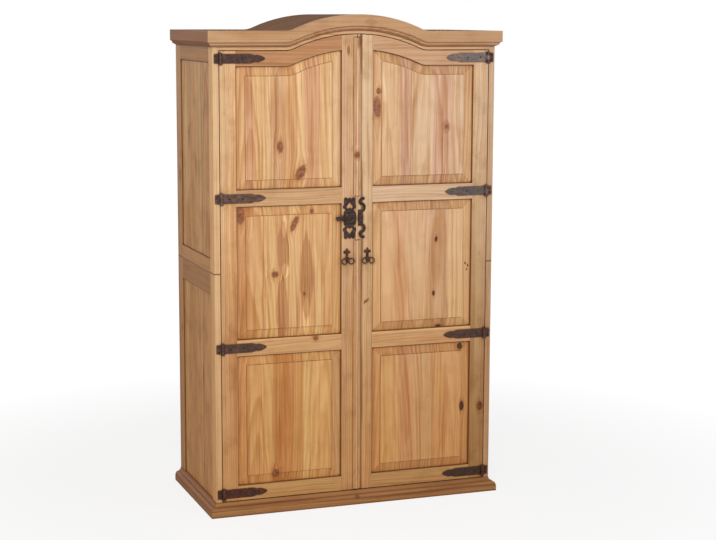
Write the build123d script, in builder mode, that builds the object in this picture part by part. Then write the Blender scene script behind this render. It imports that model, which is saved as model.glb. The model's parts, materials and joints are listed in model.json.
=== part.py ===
from build123d import *
from math import atan, cos, sin, sqrt
import os

# Two-door pine trastero: a two-part case with frame-and-panel sides, a bonnet top whose
# cornice rises over the doors in a reverse-curve arch, raised-panel doors on iron strap
# hinges, a surface bolt lock with heart cut-outs, and two drop pulls.
# Millimetres. +X is to the right as seen from the front, the doors face -Y, +Z is up and
# the origin is on the floor, in the middle of the plinth's footprint.

os.makedirs("parts", exist_ok=True)

# ---------------------------------------------------------------- case
BODY_WIDTH = 1184.0             # across the outer faces of the side frames
BODY_DEPTH = 582.0              # door faces to the back edges of the rear stiles
FRAME_THICKNESS = 24.0          # side frames and doors
LOWER_CASE_HEIGHT = 977.0       # the upper case stands on the lower one here
CASE_HEIGHT = 1908.0            # top of the side frames
HEAD_BOARD_HEIGHT = 63.0        # over the doors, the same along the whole arch
FRONT_STILE_WIDTH = 60.0
REAR_STILE_WIDTH = 75.0
LOWER_TOP_RAIL_HEIGHT = 87.0
UPPER_BOTTOM_RAIL_HEIGHT = 53.0
UPPER_TOP_RAIL_HEIGHT = 108.0
GROOVE_WIDTH = 8.0              # panel groove in every frame member
SIDE_GROOVE_SETBACK = 5.0       # from the outer face of a side frame
GROOVE_DEPTH = 10.0
PANEL_FIT = 0.15                # panel tongue to groove wall, each side
PANEL_PLAY = 2.0                # room left in the groove for the panel to swell

# ---------------------------------------------------------------- bonnet arch
ARCH_RISE = 64.0
ARCH_HALF_SPAN = 300.0
ARCH_TOE_RADIUS = 91.0          # reverse curve where the arch meets the level ends
ROOF_THICKNESS = 12.0

# ---------------------------------------------------------------- mouldings
CORNICE_HEIGHT = 61.0
CORNICE_PROJECTION = 24.0
CORNICE_FASCIA = 41.0           # upright face above the moulded part
CORNICE_FOOT = 6.0              # lowest fillet, flat under
CORNICE_FILLET = 3.0
CORNICE_FILLET_LEDGE = 0.5      # flat between the fillet and the ovolo
CORNICE_OVOLO_RADIUS = 10.0
CORNICE_EDGE_RADIUS = 5.5       # rounded lower edge of the fascia
CUTTER_MARGIN = 6.0             # waste that the moulding cutter takes outside its profile
PLINTH_HEIGHT = 55.0
PLINTH_PROJECTION = 26.0
PLINTH_FASCIA = 25.0
PLINTH_LIP = 1.0                # upright edge above the cove
PLINTH_COVE = 9.0
PLINTH_COVE_FOOT = 14.0         # from the plinth's top
PLINTH_FILLET = 2.0
MOULDING_QUIRK = 1.5            # small step beside an ovolo
MOULDING_TOE = 1.5              # flat left where the plinth's cove meets the case

# ---------------------------------------------------------------- inside boards and back
BOARD_THICKNESS = 18.0
LOWER_SHELF_HEIGHT = 668.0      # underside
UPPER_SHELF_HEIGHT = 1262.0
SHELF_SETBACK = 14.0            # behind the fixed boards
CLEAT_HEIGHT = 25.0
CLEAT_WIDTH = 20.0
BACK_RAIL_THICKNESS = 24.0
BACK_BOTTOM_RAIL_HEIGHT = 100.0
BACK_MIDDLE_RAIL_HEIGHT = 40.0  # one on each case
BACK_TOP_RAIL_HEIGHT = 111.0
BACK_PLANK_COUNT = 9
BACK_PLANK_GROOVE = 3.0         # depth of the V between planks

# ---------------------------------------------------------------- doors
DOOR_GAP = 3.0                  # between the doors, under the head and over the plinth
DOOR_SIDE_GAP = 3.0             # at the hinge posts
DOOR_REST_GAP = 1.0             # back of a door to the boards that it closes against
DOOR_STILE_WIDTH = 64.0
DOOR_BOTTOM_RAIL_HEIGHT = 59.0
DOOR_MIDDLE_RAIL_HEIGHT = 64.0
DOOR_TOP_RAIL_HEIGHT = 58.0
BOTTOM_OPENING_HEIGHT = 528.0
MIDDLE_OPENING_HEIGHT = 530.0
PANEL_BORDER = 39.0             # sloping margin round the raised field
PANEL_FIELD_DROP = 4.2          # frame face down to the inner end of the slope
PANEL_FIELD_STEP = 2.2          # crisp step up to the flat field

# ---------------------------------------------------------------- meeting strips
STRIP_WIDTH = 14.0
STRIP_PROJECTION = 9.0
STRIP_EDGE = 2.5                # height of the strip's outer edge
STRIP_BEAD_WIDTH = 7.0          # rounded nose beside the meeting line
STRIP_BEAD_RISE = 2.2
STRIP_TOP_CLEAR = 12.0          # strip end below the door's arched top
STRIP_FOOT_CLEAR = 4.0
STRIP_LOCK_CLEAR = 7.0          # strip ends above and below the lock plate

# ---------------------------------------------------------------- strap hinges
HINGE_PIN_RADIUS = 3.0
HINGE_BARREL_RADIUS = 7.0
HINGE_WOOD_CLEAR = 0.3          # barrel to the wood behind it
HINGE_RUNNING_FIT = 0.05        # radial, pin in the strap's knuckle
HINGE_AXIS_INSET = 6.5          # from the post's inner face towards the door
HINGE_PLATE = 3.0
HINGE_HEIGHT = 35.0
HINGE_BARREL_LENGTH = 44.0
STRAP_KNUCKLE_LENGTH = 15.4
HINGE_KNUCKLE_GAP = 0.3
LEAF_LENGTH = 24.0
STRAP_PARALLEL = 119.0          # from the pin to the end of the parallel part
STRAP_NICK = 140.0              # from the pin to the nick before the spear point
STRAP_LENGTH = 181.0            # from the pin to the tip
STRAP_NICK_WIDTH = 22.0
STRAP_NICK_STEP = 2.6
STRAP_SWELL = 0.8               # how far the taper bows out on its way to the nick
SPEAR_ALONG = 0.65              # a point on the spear's curve, as a share of its length
SPEAR_ACROSS = 0.4              # and as a share of the width at the nick
HINGE_PLATE_CLEAR = 0.5         # plate edge to the barrel
HINGE_BRIDGE_LAP = 1.0          # how far the iron behind a ring runs into its plate
PIN_END = 1.2                   # pin standing out of its barrel, each end

# ---------------------------------------------------------------- lock
LOCK_HEIGHT = 1178.0            # centre line of the bolt
LOCK_PLATE = 2.5
LOCK_PLATE_HALF_HEIGHT = 83.0
LOCK_PLATE_WIDTH = 46.0
LOCK_EAR_WIDTH = 56.0           # across the rounded ears beside the hearts
LOCK_EDGE_CLEAR = 4.5           # plate edge back from the meeting line
LOCK_LOBE_RADIUS = 7.0
LOCK_CREST_RADIUS = 5.95        # bump between the two lobes of an end
LOCK_EAR_RADIUS = 8.0
LOCK_EAR_HEIGHT = 46.0          # ear centres from the bolt line
LOCK_NOTCH_RADIUS = 6.0
LOCK_NOTCH_DISTANCE = 13.0      # notch centres from the cover's edge
LOCK_HOLE_RADIUS = 2.2
LOCK_HOLE_DISTANCE = 10.5
HEART_DISTANCE = 49.0           # heart centre from the bolt line
HEART_LOBE_RADIUS = 7.2
HEART_LOBE_SPREAD = 6.84        # lobe centres from the heart's middle line
HEART_LOBE_DROP = 4.0           # lobe centres from the heart's centre
HEART_CHEEK = 0.87              # where a straight side leaves its lobe, as a share of the lobe
HEART_CLEFT = 2.0
HEART_POINT = 16.0
BOLT_HEIGHT = 15.0
BOLT_THICKNESS = 6.0
BOLT_BEVEL = 1.5
BOLT_TAIL = 29.0                # stands out past the plate with the bolt drawn
BOLT_TRAVEL = 22.0
BOLT_NOSE_CLEAR = 6.0           # bolt end back from the meeting line when drawn
BOLT_CLEAR = 0.3
BOLT_COVER_LENGTH = 44.0
BOLT_COVER_HEIGHT = 40.0
BOLT_COVER_DEPTH = 13.0
BOLT_COVER_BEVEL = 2.5
KNOB_RADIUS = 6.5
KNOB_STEM_RADIUS = 2.8
KNOB_STEM_LAP = 1.0             # how far the stem runs into the knob
KNOB_COLLAR = 1.0               # knob's back, wider than the stem
KNOB_LENGTH = 8.5
KNOB_PROFILE = ((1.0, 0.35), (0.9, 0.75), (0.5, 1.0))   # shares of the radius and the length
KNOB_REACH = 25.0               # knob's front from the door face
KNOB_OFFSET = 1.0               # beside the middle of its slot's travel
KEEPER_BAND = 11.0              # width of the scrolled iron
KEEPER_SPINE_WIDTH = 17.0
KEEPER_SPINE_HALF_HEIGHT = 32.0
KEEPER_BELLY = 31.0             # outer edge of the wide curl from the spine's edge
KEEPER_REACH = 27.0             # outer edge of the tips
KEEPER_BELLY_SHARE = 0.5        # heights along the curl, as shares of the plate's half height
KEEPER_TURN_SHARE = 0.69
KEEPER_CURL_SHARE = 0.85
KEEPER_INSET = 1.5              # inner edge of the curl from the spine's edge
KEEPER_TURN_SHIFT = 3.0         # further inset of the turn, and of the curl after it
KEEPER_CURL_SHIFT = 2.0
KEEPER_BOX_HEIGHT = 28.0
KEEPER_BOX_BEVEL = 1.2
KEEPER_WALL = 3.0

# ---------------------------------------------------------------- drop pulls
PULL_OFFSET = 43.5              # pull centre from the meeting line
PULL_DROP = 77.0                # from the lock plate down to the pull's pivot
PULL_PIVOT_REACH = 13.5
PULL_PLATE = 2.5
PULL_COLLAR_RADIUS = 6.0        # the plate's places are measured from the pivot
PULL_NECK = ((-5, 0), (-4.5, 12), (-6, 19), (6, 19), (4.5, 12), (5, 0))
PULL_LEAVES = ((0, 22.5, 7.2), (-9.5, 23.5, 5.2), (9.5, 23.5, 5.2), (0, 31, 5))  # and radius
PULL_TIP = ((-3.6, 34.4), (0, 39), (3.6, 34.4))
PULL_TAIL_LENGTH = 16.0
PULL_TAIL_RADIUS = 4.5
BAIL_BAR_RADIUS = 2.0
BAIL_RUNNING_FIT = 0.1
BAIL_RING_RADIUS = 11.6         # to the middle of the bar
BAIL_ROD_RADIUS = 3.1           # to the corners of the bar
BAIL_ROD_SIDES = 8
BAIL_RING_LAP = 0.4             # how far a ring takes in the end of the bar between them
EYE_RADIUS = 3.8
EYE_WIDTH = 3.2

# ---------------------------------------------------------------- derived places
front_y = -(BODY_DEPTH + PLINTH_PROJECTION) / 2 + PLINTH_PROJECTION
back_y = front_y + BODY_DEPTH
outer_x = BODY_WIDTH / 2
post_x = outer_x - FRAME_THICKNESS
door_back_y = front_y + FRAME_THICKNESS
front_stile_y = front_y + FRONT_STILE_WIDTH
rear_stile_y = back_y - REAR_STILE_WIDTH
back_rail_y = back_y - BACK_RAIL_THICKNESS
head_z = CASE_HEIGHT - HEAD_BOARD_HEIGHT
roof_z = CASE_HEIGHT + ROOF_THICKNESS
cornice_z = roof_z - CORNICE_HEIGHT

door_left_x = -post_x + DOOR_SIDE_GAP
door_right_x = -DOOR_GAP / 2
opening_left_x = door_left_x + DOOR_STILE_WIDTH
opening_right_x = door_right_x - DOOR_STILE_WIDTH
door_bottom_z = PLINTH_HEIGHT + DOOR_GAP
door_top_z = head_z - DOOR_GAP
bottom_rail_z = door_bottom_z + DOOR_BOTTOM_RAIL_HEIGHT
lower_rail_z = bottom_rail_z + BOTTOM_OPENING_HEIGHT
lower_rail_top_z = lower_rail_z + DOOR_MIDDLE_RAIL_HEIGHT
upper_rail_z = lower_rail_top_z + MIDDLE_OPENING_HEIGHT
upper_rail_top_z = upper_rail_z + DOOR_MIDDLE_RAIL_HEIGHT
top_rail_z = door_top_z - DOOR_TOP_RAIL_HEIGHT

arch_angle = 2 * atan(ARCH_RISE / ARCH_HALF_SPAN)
arch_radius = ARCH_HALF_SPAN / sin(arch_angle) - ARCH_TOE_RADIUS
shoulder_x = arch_radius * sin(arch_angle)

hinge_x = -post_x + HINGE_AXIS_INSET
hinge_reach = HINGE_BARREL_RADIUS + HINGE_WOOD_CLEAR
hinge_y = front_y - hinge_reach
hinge_heights = [
    (door_bottom_z + bottom_rail_z) / 2,
    (lower_rail_z + lower_rail_top_z) / 2,
    (upper_rail_z + upper_rail_top_z) / 2,
    (top_rail_z + door_top_z) / 2,
]

door_face = Plane.XZ.offset(-front_y)


def arch_height(x):
    """Height of the bonnet line above its level ends, at a distance x from the middle."""
    x = abs(x)
    if x >= ARCH_HALF_SPAN:
        return 0.0
    if x >= shoulder_x:
        return ARCH_TOE_RADIUS - sqrt(ARCH_TOE_RADIUS**2 - (ARCH_HALF_SPAN - x) ** 2)
    return ARCH_RISE - arch_radius + sqrt(arch_radius**2 - x**2)


def arch_line(base_z, half_width):
    """The bonnet line from left to right: level, reverse curve, long arc, and back down."""
    toe_x = (ARCH_HALF_SPAN + shoulder_x) / 2
    toe_z = base_z + arch_height(toe_x)
    shoulder_z = base_z + arch_height(shoulder_x)
    Line((-half_width, base_z), (-ARCH_HALF_SPAN, base_z))
    ThreePointArc((-ARCH_HALF_SPAN, base_z), (-toe_x, toe_z), (-shoulder_x, shoulder_z))
    ThreePointArc((-shoulder_x, shoulder_z), (0, base_z + ARCH_RISE), (shoulder_x, shoulder_z))
    ThreePointArc((shoulder_x, shoulder_z), (toe_x, toe_z), (ARCH_HALF_SPAN, base_z))
    Line((ARCH_HALF_SPAN, base_z), (half_width, base_z))


def arch_area(base_z, low_z, left_x, right_x, mode=Mode.ADD):
    """Flat area between two uprights, from low_z up to the bonnet line based at base_z."""
    with BuildSketch(mode=Mode.PRIVATE) as area:
        with BuildLine():
            arch_line(base_z, BODY_WIDTH)
            Polyline(
                (BODY_WIDTH, base_z),
                (BODY_WIDTH, low_z),
                (-BODY_WIDTH, low_z),
                (-BODY_WIDTH, base_z),
            )
        make_face()
        with Locations(((left_x + right_x) / 2, (low_z + base_z + ARCH_RISE) / 2)):
            Rectangle(right_x - left_x, base_z + ARCH_RISE - low_z + 1, mode=Mode.INTERSECT)
    add(area.sketch_local, mode=mode)


def arch_band(top_z, bottom_z, left_x, right_x):
    """Area between two bonnet lines, one above the other."""
    arch_area(top_z, bottom_z - 1, left_x, right_x)
    arch_area(bottom_z, bottom_z - 2, left_x, right_x, mode=Mode.SUBTRACT)


def area(left, low, right, high, mode=Mode.ADD):
    """Rectangle given by its sides."""
    with Locations(((left + right) / 2, (low + high) / 2)):
        Rectangle(right - left, high - low, mode=mode)


def level_area(high_z, low_z, left_x, right_x):
    """Area like arch_area's, with a level top."""
    area(left_x, low_z, right_x, high_z)


def cornice_curve():
    """Foot fillet, ovolo, quirk and rounded fascia edge: across is outward, up is up."""
    fascia_z = CORNICE_HEIGHT - CORNICE_FASCIA
    ovolo_start = (CORNICE_FOOT + CORNICE_FILLET_LEDGE, CORNICE_FILLET)
    ovolo_end = (ovolo_start[0] + CORNICE_OVOLO_RADIUS, CORNICE_FILLET + CORNICE_OVOLO_RADIUS)
    edge_start = (CORNICE_PROJECTION - CORNICE_EDGE_RADIUS, fascia_z - CORNICE_EDGE_RADIUS)
    Polyline((0, 0), (CORNICE_FOOT, 0), (CORNICE_FOOT, CORNICE_FILLET), ovolo_start)
    TangentArc(ovolo_start, ovolo_end, tangent=(1, 0))
    Polyline(ovolo_end, (ovolo_end[0], edge_start[1]), edge_start)
    TangentArc(edge_start, (CORNICE_PROJECTION, fascia_z), tangent=(1, 0))


def cornice_section():
    """Whole cornice section, flat against the case."""
    with BuildLine() as outline:
        cornice_curve()
        Polyline(
            (CORNICE_PROJECTION, CORNICE_HEIGHT - CORNICE_FASCIA),
            (CORNICE_PROJECTION, CORNICE_HEIGHT),
            (0, CORNICE_HEIGHT),
            (0, 0),
        )
    make_face(outline.edges())


def plinth_section():
    """Whole plinth section: fascia, ovolo, fillet and cove, flat against the case."""
    cove_start = (MOULDING_TOE, PLINTH_HEIGHT - PLINTH_LIP)
    cove_end = (MOULDING_TOE + PLINTH_COVE, PLINTH_HEIGHT - PLINTH_COVE_FOOT)
    ovolo_start = (cove_end[0] + MOULDING_QUIRK, cove_end[1] - PLINTH_FILLET)
    ovolo_end = (PLINTH_PROJECTION - MOULDING_QUIRK, PLINTH_FASCIA + MOULDING_QUIRK)
    with BuildLine() as outline:
        Polyline((0, PLINTH_HEIGHT), (MOULDING_TOE, PLINTH_HEIGHT), cove_start)
        TangentArc(cove_start, cove_end, tangent=(0, -1))
        Polyline(cove_end, (cove_end[0], ovolo_start[1]), ovolo_start)
        TangentArc(ovolo_start, ovolo_end, tangent=(1, 0))
        Polyline(
            ovolo_end,
            (ovolo_end[0], PLINTH_FASCIA),
            (PLINTH_PROJECTION, PLINTH_FASCIA),
            (PLINTH_PROJECTION, 0),
            (0, 0),
            (0, PLINTH_HEIGHT),
        )
    make_face(outline.edges())


def outward_left(y, z):
    """Plane whose across direction points out of the left side."""
    return Plane(origin=(-outer_x, y, z), x_dir=(-1, 0, 0), z_dir=(0, 1, 0))


def outward_front(x, z):
    """Plane whose across direction points out of the front."""
    return Plane(origin=(x, front_y, z), x_dir=(0, -1, 0), z_dir=(-1, 0, 0))


# ================================================================ plinth
with BuildPart() as plinth_front:
    with BuildSketch(outward_front(outer_x + PLINTH_PROJECTION, 0)):
        plinth_section()
    extrude(amount=BODY_WIDTH + 2 * PLINTH_PROJECTION)
    with BuildSketch():
        Polygon(
            (-outer_x, front_y),
            (outer_x, front_y),
            (outer_x + PLINTH_PROJECTION, front_y - PLINTH_PROJECTION),
            (-outer_x - PLINTH_PROJECTION, front_y - PLINTH_PROJECTION),
            align=None,
        )
    extrude(amount=PLINTH_HEIGHT, mode=Mode.INTERSECT)

with BuildPart() as plinth_left:
    with BuildSketch(outward_left(front_y - PLINTH_PROJECTION, 0)):
        plinth_section()
    extrude(amount=BODY_DEPTH + PLINTH_PROJECTION)
    with BuildSketch():
        Polygon(
            (-outer_x, front_y),
            (-outer_x - PLINTH_PROJECTION, front_y - PLINTH_PROJECTION),
            (-outer_x - PLINTH_PROJECTION, back_y),
            (-outer_x, back_y),
            align=None,
        )
    extrude(amount=PLINTH_HEIGHT, mode=Mode.INTERSECT)

with BuildPart() as front_rail:
    with BuildSketch(door_face):
        area(-post_x, 0, post_x, PLINTH_HEIGHT)
    extrude(amount=-FRAME_THICKNESS)

# ================================================================ side frames
left_face = Plane.YZ.offset(-outer_x)
groove_x = -outer_x + SIDE_GROOVE_SETBACK
groove_face = Plane.YZ.offset(groove_x)
back_groove_y = back_rail_y + (BACK_RAIL_THICKNESS - GROOVE_WIDTH) / 2


def side_stiles(low_z, high_z):
    """Front and rear stile of one case, grooved for the side panel and the back."""
    with BuildPart() as stiles:
        with BuildSketch(left_face):
            area(front_y, low_z, front_stile_y, high_z)
            area(rear_stile_y, low_z, back_y, high_z)
        extrude(amount=FRAME_THICKNESS)
        with BuildSketch(groove_face):
            area(front_stile_y - GROOVE_DEPTH, low_z, front_stile_y, high_z)
            area(rear_stile_y, low_z, rear_stile_y + GROOVE_DEPTH, high_z)
        extrude(amount=GROOVE_WIDTH, mode=Mode.SUBTRACT)
        with BuildSketch(Plane.YZ.offset(-post_x - GROOVE_DEPTH)):
            area(back_groove_y, low_z, back_groove_y + GROOVE_WIDTH, high_z)
        extrude(amount=GROOVE_DEPTH, mode=Mode.SUBTRACT)
    return stiles


def side_rails(low_z, low_panel_z, high_panel_z, high_z):
    """Bottom and top rail of one side frame, with stub tenons and panel grooves."""
    with BuildPart() as rails:
        with BuildSketch(left_face):
            area(front_stile_y, low_z, rear_stile_y, low_panel_z)
            area(front_stile_y, high_panel_z, rear_stile_y, high_z)
        extrude(amount=FRAME_THICKNESS)
        with BuildSketch(groove_face):
            area(front_stile_y - GROOVE_DEPTH, low_z, rear_stile_y + GROOVE_DEPTH, low_panel_z)
            area(front_stile_y - GROOVE_DEPTH, high_panel_z, rear_stile_y + GROOVE_DEPTH, high_z)
        extrude(amount=GROOVE_WIDTH)
        with BuildSketch(groove_face):
            area(
                front_stile_y - GROOVE_DEPTH,
                low_panel_z - GROOVE_DEPTH,
                rear_stile_y + GROOVE_DEPTH,
                high_panel_z + GROOVE_DEPTH,
            )
        extrude(amount=GROOVE_WIDTH, mode=Mode.SUBTRACT)
    return rails


def side_panel(low_z, high_z):
    """Flat panel whose edges stand in the grooves."""
    edge = GROOVE_DEPTH - PANEL_PLAY
    with BuildPart() as panel:
        with BuildSketch(Plane.YZ.offset(groove_x + PANEL_FIT)):
            area(front_stile_y - edge, low_z - edge, rear_stile_y + edge, high_z + edge)
        extrude(amount=GROOVE_WIDTH - 2 * PANEL_FIT)
    return panel


lower_panel_z = (PLINTH_HEIGHT, LOWER_CASE_HEIGHT - LOWER_TOP_RAIL_HEIGHT)
upper_panel_z = (LOWER_CASE_HEIGHT + UPPER_BOTTOM_RAIL_HEIGHT, CASE_HEIGHT - UPPER_TOP_RAIL_HEIGHT)

left_lower_stiles = side_stiles(0, LOWER_CASE_HEIGHT)
left_upper_stiles = side_stiles(LOWER_CASE_HEIGHT, CASE_HEIGHT)
left_lower_rails = side_rails(0, *lower_panel_z, LOWER_CASE_HEIGHT)
left_upper_rails = side_rails(LOWER_CASE_HEIGHT, *upper_panel_z, CASE_HEIGHT)
left_lower_panel = side_panel(*lower_panel_z)
left_upper_panel = side_panel(*upper_panel_z)

# ================================================================ back
back_rail_face = Plane.XZ.offset(-back_rail_y)
back_groove_face = Plane.XZ.offset(-back_groove_y)
lower_back_z = (BACK_BOTTOM_RAIL_HEIGHT, LOWER_CASE_HEIGHT - BACK_MIDDLE_RAIL_HEIGHT)
upper_back_z = (LOWER_CASE_HEIGHT + BACK_MIDDLE_RAIL_HEIGHT, CASE_HEIGHT - BACK_TOP_RAIL_HEIGHT)


def back_planks(low_z, high_z):
    """Vertical planks glued edge to edge, with a V along every joint on the outside."""
    edge = GROOVE_DEPTH - PANEL_PLAY
    face_y = back_groove_y + GROOVE_WIDTH - PANEL_FIT
    with BuildPart() as planks:
        with BuildSketch(Plane.XZ.offset(-back_groove_y - PANEL_FIT)):
            area(-post_x - edge, low_z - edge, post_x + edge, high_z + edge)
        extrude(amount=-(GROOVE_WIDTH - 2 * PANEL_FIT))
        with BuildSketch(Plane.XY.offset(low_z)):
            with Locations((0, face_y)):
                with GridLocations(2 * post_x / BACK_PLANK_COUNT, 1, BACK_PLANK_COUNT - 1, 1):
                    Rectangle(BACK_PLANK_GROOVE * sqrt(2), BACK_PLANK_GROOVE * sqrt(2), 45)
        extrude(amount=high_z - low_z, mode=Mode.SUBTRACT)
    return planks


# Level rails at the foot and at the top of the lower case.
with BuildPart() as back_rails:
    with BuildSketch(back_rail_face):
        area(-post_x, 0, post_x, lower_back_z[0])
        area(-post_x, lower_back_z[1], post_x, LOWER_CASE_HEIGHT)
    extrude(amount=-BACK_RAIL_THICKNESS)
    with BuildSketch(back_groove_face):
        area(-post_x - GROOVE_DEPTH, 0, post_x + GROOVE_DEPTH, lower_back_z[0])
        area(-post_x - GROOVE_DEPTH, lower_back_z[1], post_x + GROOVE_DEPTH, LOWER_CASE_HEIGHT)
    extrude(amount=-GROOVE_WIDTH)
    with BuildSketch(back_groove_face):
        area(
            -post_x - GROOVE_DEPTH,
            lower_back_z[0] - GROOVE_DEPTH,
            post_x + GROOVE_DEPTH,
            lower_back_z[1] + GROOVE_DEPTH,
        )
    extrude(amount=-GROOVE_WIDTH, mode=Mode.SUBTRACT)

with BuildPart() as back_upper_rail:
    with BuildSketch(back_rail_face):
        area(-post_x, LOWER_CASE_HEIGHT, post_x, upper_back_z[0])
    extrude(amount=-BACK_RAIL_THICKNESS)
    with BuildSketch(back_groove_face):
        area(-post_x - GROOVE_DEPTH, LOWER_CASE_HEIGHT, post_x + GROOVE_DEPTH, upper_back_z[0])
    extrude(amount=-GROOVE_WIDTH)
    with BuildSketch(back_groove_face):
        area(
            -post_x - GROOVE_DEPTH,
            upper_back_z[0] - GROOVE_DEPTH,
            post_x + GROOVE_DEPTH,
            upper_back_z[0],
        )
    extrude(amount=-GROOVE_WIDTH, mode=Mode.SUBTRACT)

# The head rail at the back carries the same arch as the head board in front.
with BuildPart() as back_head_rail:
    with BuildSketch(back_rail_face):
        arch_area(CASE_HEIGHT, upper_back_z[1], -post_x, post_x)
    extrude(amount=-BACK_RAIL_THICKNESS)
    with BuildSketch(back_groove_face):
        area(-post_x - GROOVE_DEPTH, upper_back_z[1], post_x + GROOVE_DEPTH, CASE_HEIGHT)
    extrude(amount=-GROOVE_WIDTH)
    with BuildSketch(back_groove_face):
        area(
            -post_x - GROOVE_DEPTH,
            upper_back_z[1],
            post_x + GROOVE_DEPTH,
            upper_back_z[1] + GROOVE_DEPTH,
        )
    extrude(amount=-GROOVE_WIDTH, mode=Mode.SUBTRACT)

lower_back = back_planks(*lower_back_z)
upper_back = back_planks(*upper_back_z)

# ================================================================ boards, shelves and cleats
board_front_y = door_back_y + DOOR_REST_GAP


def level_boards(*places):
    """Boards between the side frames, each given by its underside and its front edge."""
    with BuildPart() as boards:
        for low_z, start_y in places:
            with BuildSketch(Plane.XY.offset(low_z)):
                area(-post_x, start_y, post_x, back_rail_y)
            extrude(amount=BOARD_THICKNESS)
    return boards


lower_top_z = LOWER_CASE_HEIGHT - BOARD_THICKNESS
shelf_y = board_front_y + SHELF_SETBACK

lower_boards = level_boards((PLINTH_HEIGHT, board_front_y), (lower_top_z, board_front_y))
upper_bottom_board = level_boards((LOWER_CASE_HEIGHT, board_front_y))
shelves = level_boards((LOWER_SHELF_HEIGHT, shelf_y), (UPPER_SHELF_HEIGHT, shelf_y))

with BuildPart() as cleats:
    for board_z in (PLINTH_HEIGHT, LOWER_SHELF_HEIGHT, lower_top_z, UPPER_SHELF_HEIGHT):
        with BuildSketch(Plane.XY.offset(board_z - CLEAT_HEIGHT)):
            area(-post_x, shelf_y, -post_x + CLEAT_WIDTH, back_rail_y)
            area(post_x - CLEAT_WIDTH, shelf_y, post_x, back_rail_y)
        extrude(amount=CLEAT_HEIGHT)

# ================================================================ bonnet top
with BuildPart() as head_board:
    with BuildSketch(door_face):
        arch_band(CASE_HEIGHT, head_z, -post_x, post_x)
    extrude(amount=-FRAME_THICKNESS)

with BuildPart() as roof:
    with BuildSketch(door_face):
        arch_band(roof_z, CASE_HEIGHT, -outer_x, outer_x)
    extrude(amount=-BODY_DEPTH)

cornice_end_x = outer_x + CORNICE_PROJECTION

# The front cornice is sawn to the arch, then moulded by one cutter run along its lower edge.
with BuildPart() as cornice_front:
    with BuildSketch(door_face):
        arch_band(roof_z, cornice_z, -cornice_end_x, cornice_end_x)
    extrude(amount=CORNICE_PROJECTION)
    with BuildLine(door_face) as cutter_path:
        arch_line(cornice_z, cornice_end_x)
    with BuildSketch(outward_front(-cornice_end_x, cornice_z)):
        with BuildLine():
            cornice_curve()
            Polyline(
                (CORNICE_PROJECTION, CORNICE_HEIGHT - CORNICE_FASCIA),
                (CORNICE_PROJECTION + CUTTER_MARGIN, CORNICE_HEIGHT - CORNICE_FASCIA),
                (CORNICE_PROJECTION + CUTTER_MARGIN, -CUTTER_MARGIN),
                (0, -CUTTER_MARGIN),
                (0, 0),
            )
        make_face()
    sweep(path=cutter_path, mode=Mode.SUBTRACT)
    with BuildSketch(Plane.XY.offset(cornice_z)):
        Polygon(
            (-outer_x, front_y),
            (outer_x, front_y),
            (cornice_end_x, front_y - CORNICE_PROJECTION),
            (-cornice_end_x, front_y - CORNICE_PROJECTION),
            align=None,
        )
    extrude(amount=CORNICE_HEIGHT + ARCH_RISE, mode=Mode.INTERSECT)

with BuildPart() as cornice_left:
    with BuildSketch(outward_left(front_y - CORNICE_PROJECTION, cornice_z)):
        cornice_section()
    extrude(amount=BODY_DEPTH + CORNICE_PROJECTION)
    with BuildSketch(Plane.XY.offset(cornice_z)):
        Polygon(
            (-outer_x, front_y),
            (-cornice_end_x, front_y - CORNICE_PROJECTION),
            (-cornice_end_x, back_y),
            (-outer_x, back_y),
            align=None,
        )
    extrude(amount=CORNICE_HEIGHT, mode=Mode.INTERSECT)

# ================================================================ left door frame
door_groove_face = Plane.XZ.offset(-front_y - (FRAME_THICKNESS - GROOVE_WIDTH) / 2)
tenon_left_x = opening_left_x - GROOVE_DEPTH
tenon_right_x = opening_right_x + GROOVE_DEPTH

with BuildPart() as left_hinge_stile:
    with BuildSketch(door_face):
        area(door_left_x, door_bottom_z, opening_left_x, door_top_z)
    extrude(amount=-FRAME_THICKNESS)
    with BuildSketch(door_groove_face):
        area(tenon_left_x, door_bottom_z, opening_left_x, door_top_z)
    extrude(amount=-GROOVE_WIDTH, mode=Mode.SUBTRACT)

with BuildPart() as left_lock_stile:
    with BuildSketch(door_face):
        arch_area(door_top_z, door_bottom_z, opening_right_x, door_right_x)
    extrude(amount=-FRAME_THICKNESS)
    with BuildSketch(door_groove_face):
        arch_area(door_top_z, door_bottom_z, opening_right_x, tenon_right_x)
    extrude(amount=-GROOVE_WIDTH, mode=Mode.SUBTRACT)

with BuildPart() as left_top_rail:
    with BuildSketch(door_face):
        arch_band(door_top_z, top_rail_z, opening_left_x, opening_right_x)
    extrude(amount=-FRAME_THICKNESS)
    with BuildSketch(door_groove_face):
        arch_band(door_top_z, top_rail_z, tenon_left_x, tenon_right_x)
    extrude(amount=-GROOVE_WIDTH)
    with BuildSketch(door_groove_face):
        arch_area(top_rail_z + GROOVE_DEPTH, top_rail_z - 2, tenon_left_x, tenon_right_x)
    extrude(amount=-GROOVE_WIDTH, mode=Mode.SUBTRACT)


def door_rails(*places):
    """Level rails with stub tenons: each has its two heights and whether it is grooved below."""
    with BuildPart() as rails:
        for low_z, high_z, grooved_below in places:
            with BuildSketch(door_face):
                area(opening_left_x, low_z, opening_right_x, high_z)
            extrude(amount=-FRAME_THICKNESS)
            with BuildSketch(door_groove_face):
                area(tenon_left_x, low_z, tenon_right_x, high_z)
            extrude(amount=-GROOVE_WIDTH)
            with BuildSketch(door_groove_face):
                area(tenon_left_x, high_z - GROOVE_DEPTH, tenon_right_x, high_z)
                if grooved_below:
                    area(tenon_left_x, low_z, tenon_right_x, low_z + GROOVE_DEPTH)
            extrude(amount=-GROOVE_WIDTH, mode=Mode.SUBTRACT)
    return rails


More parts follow.
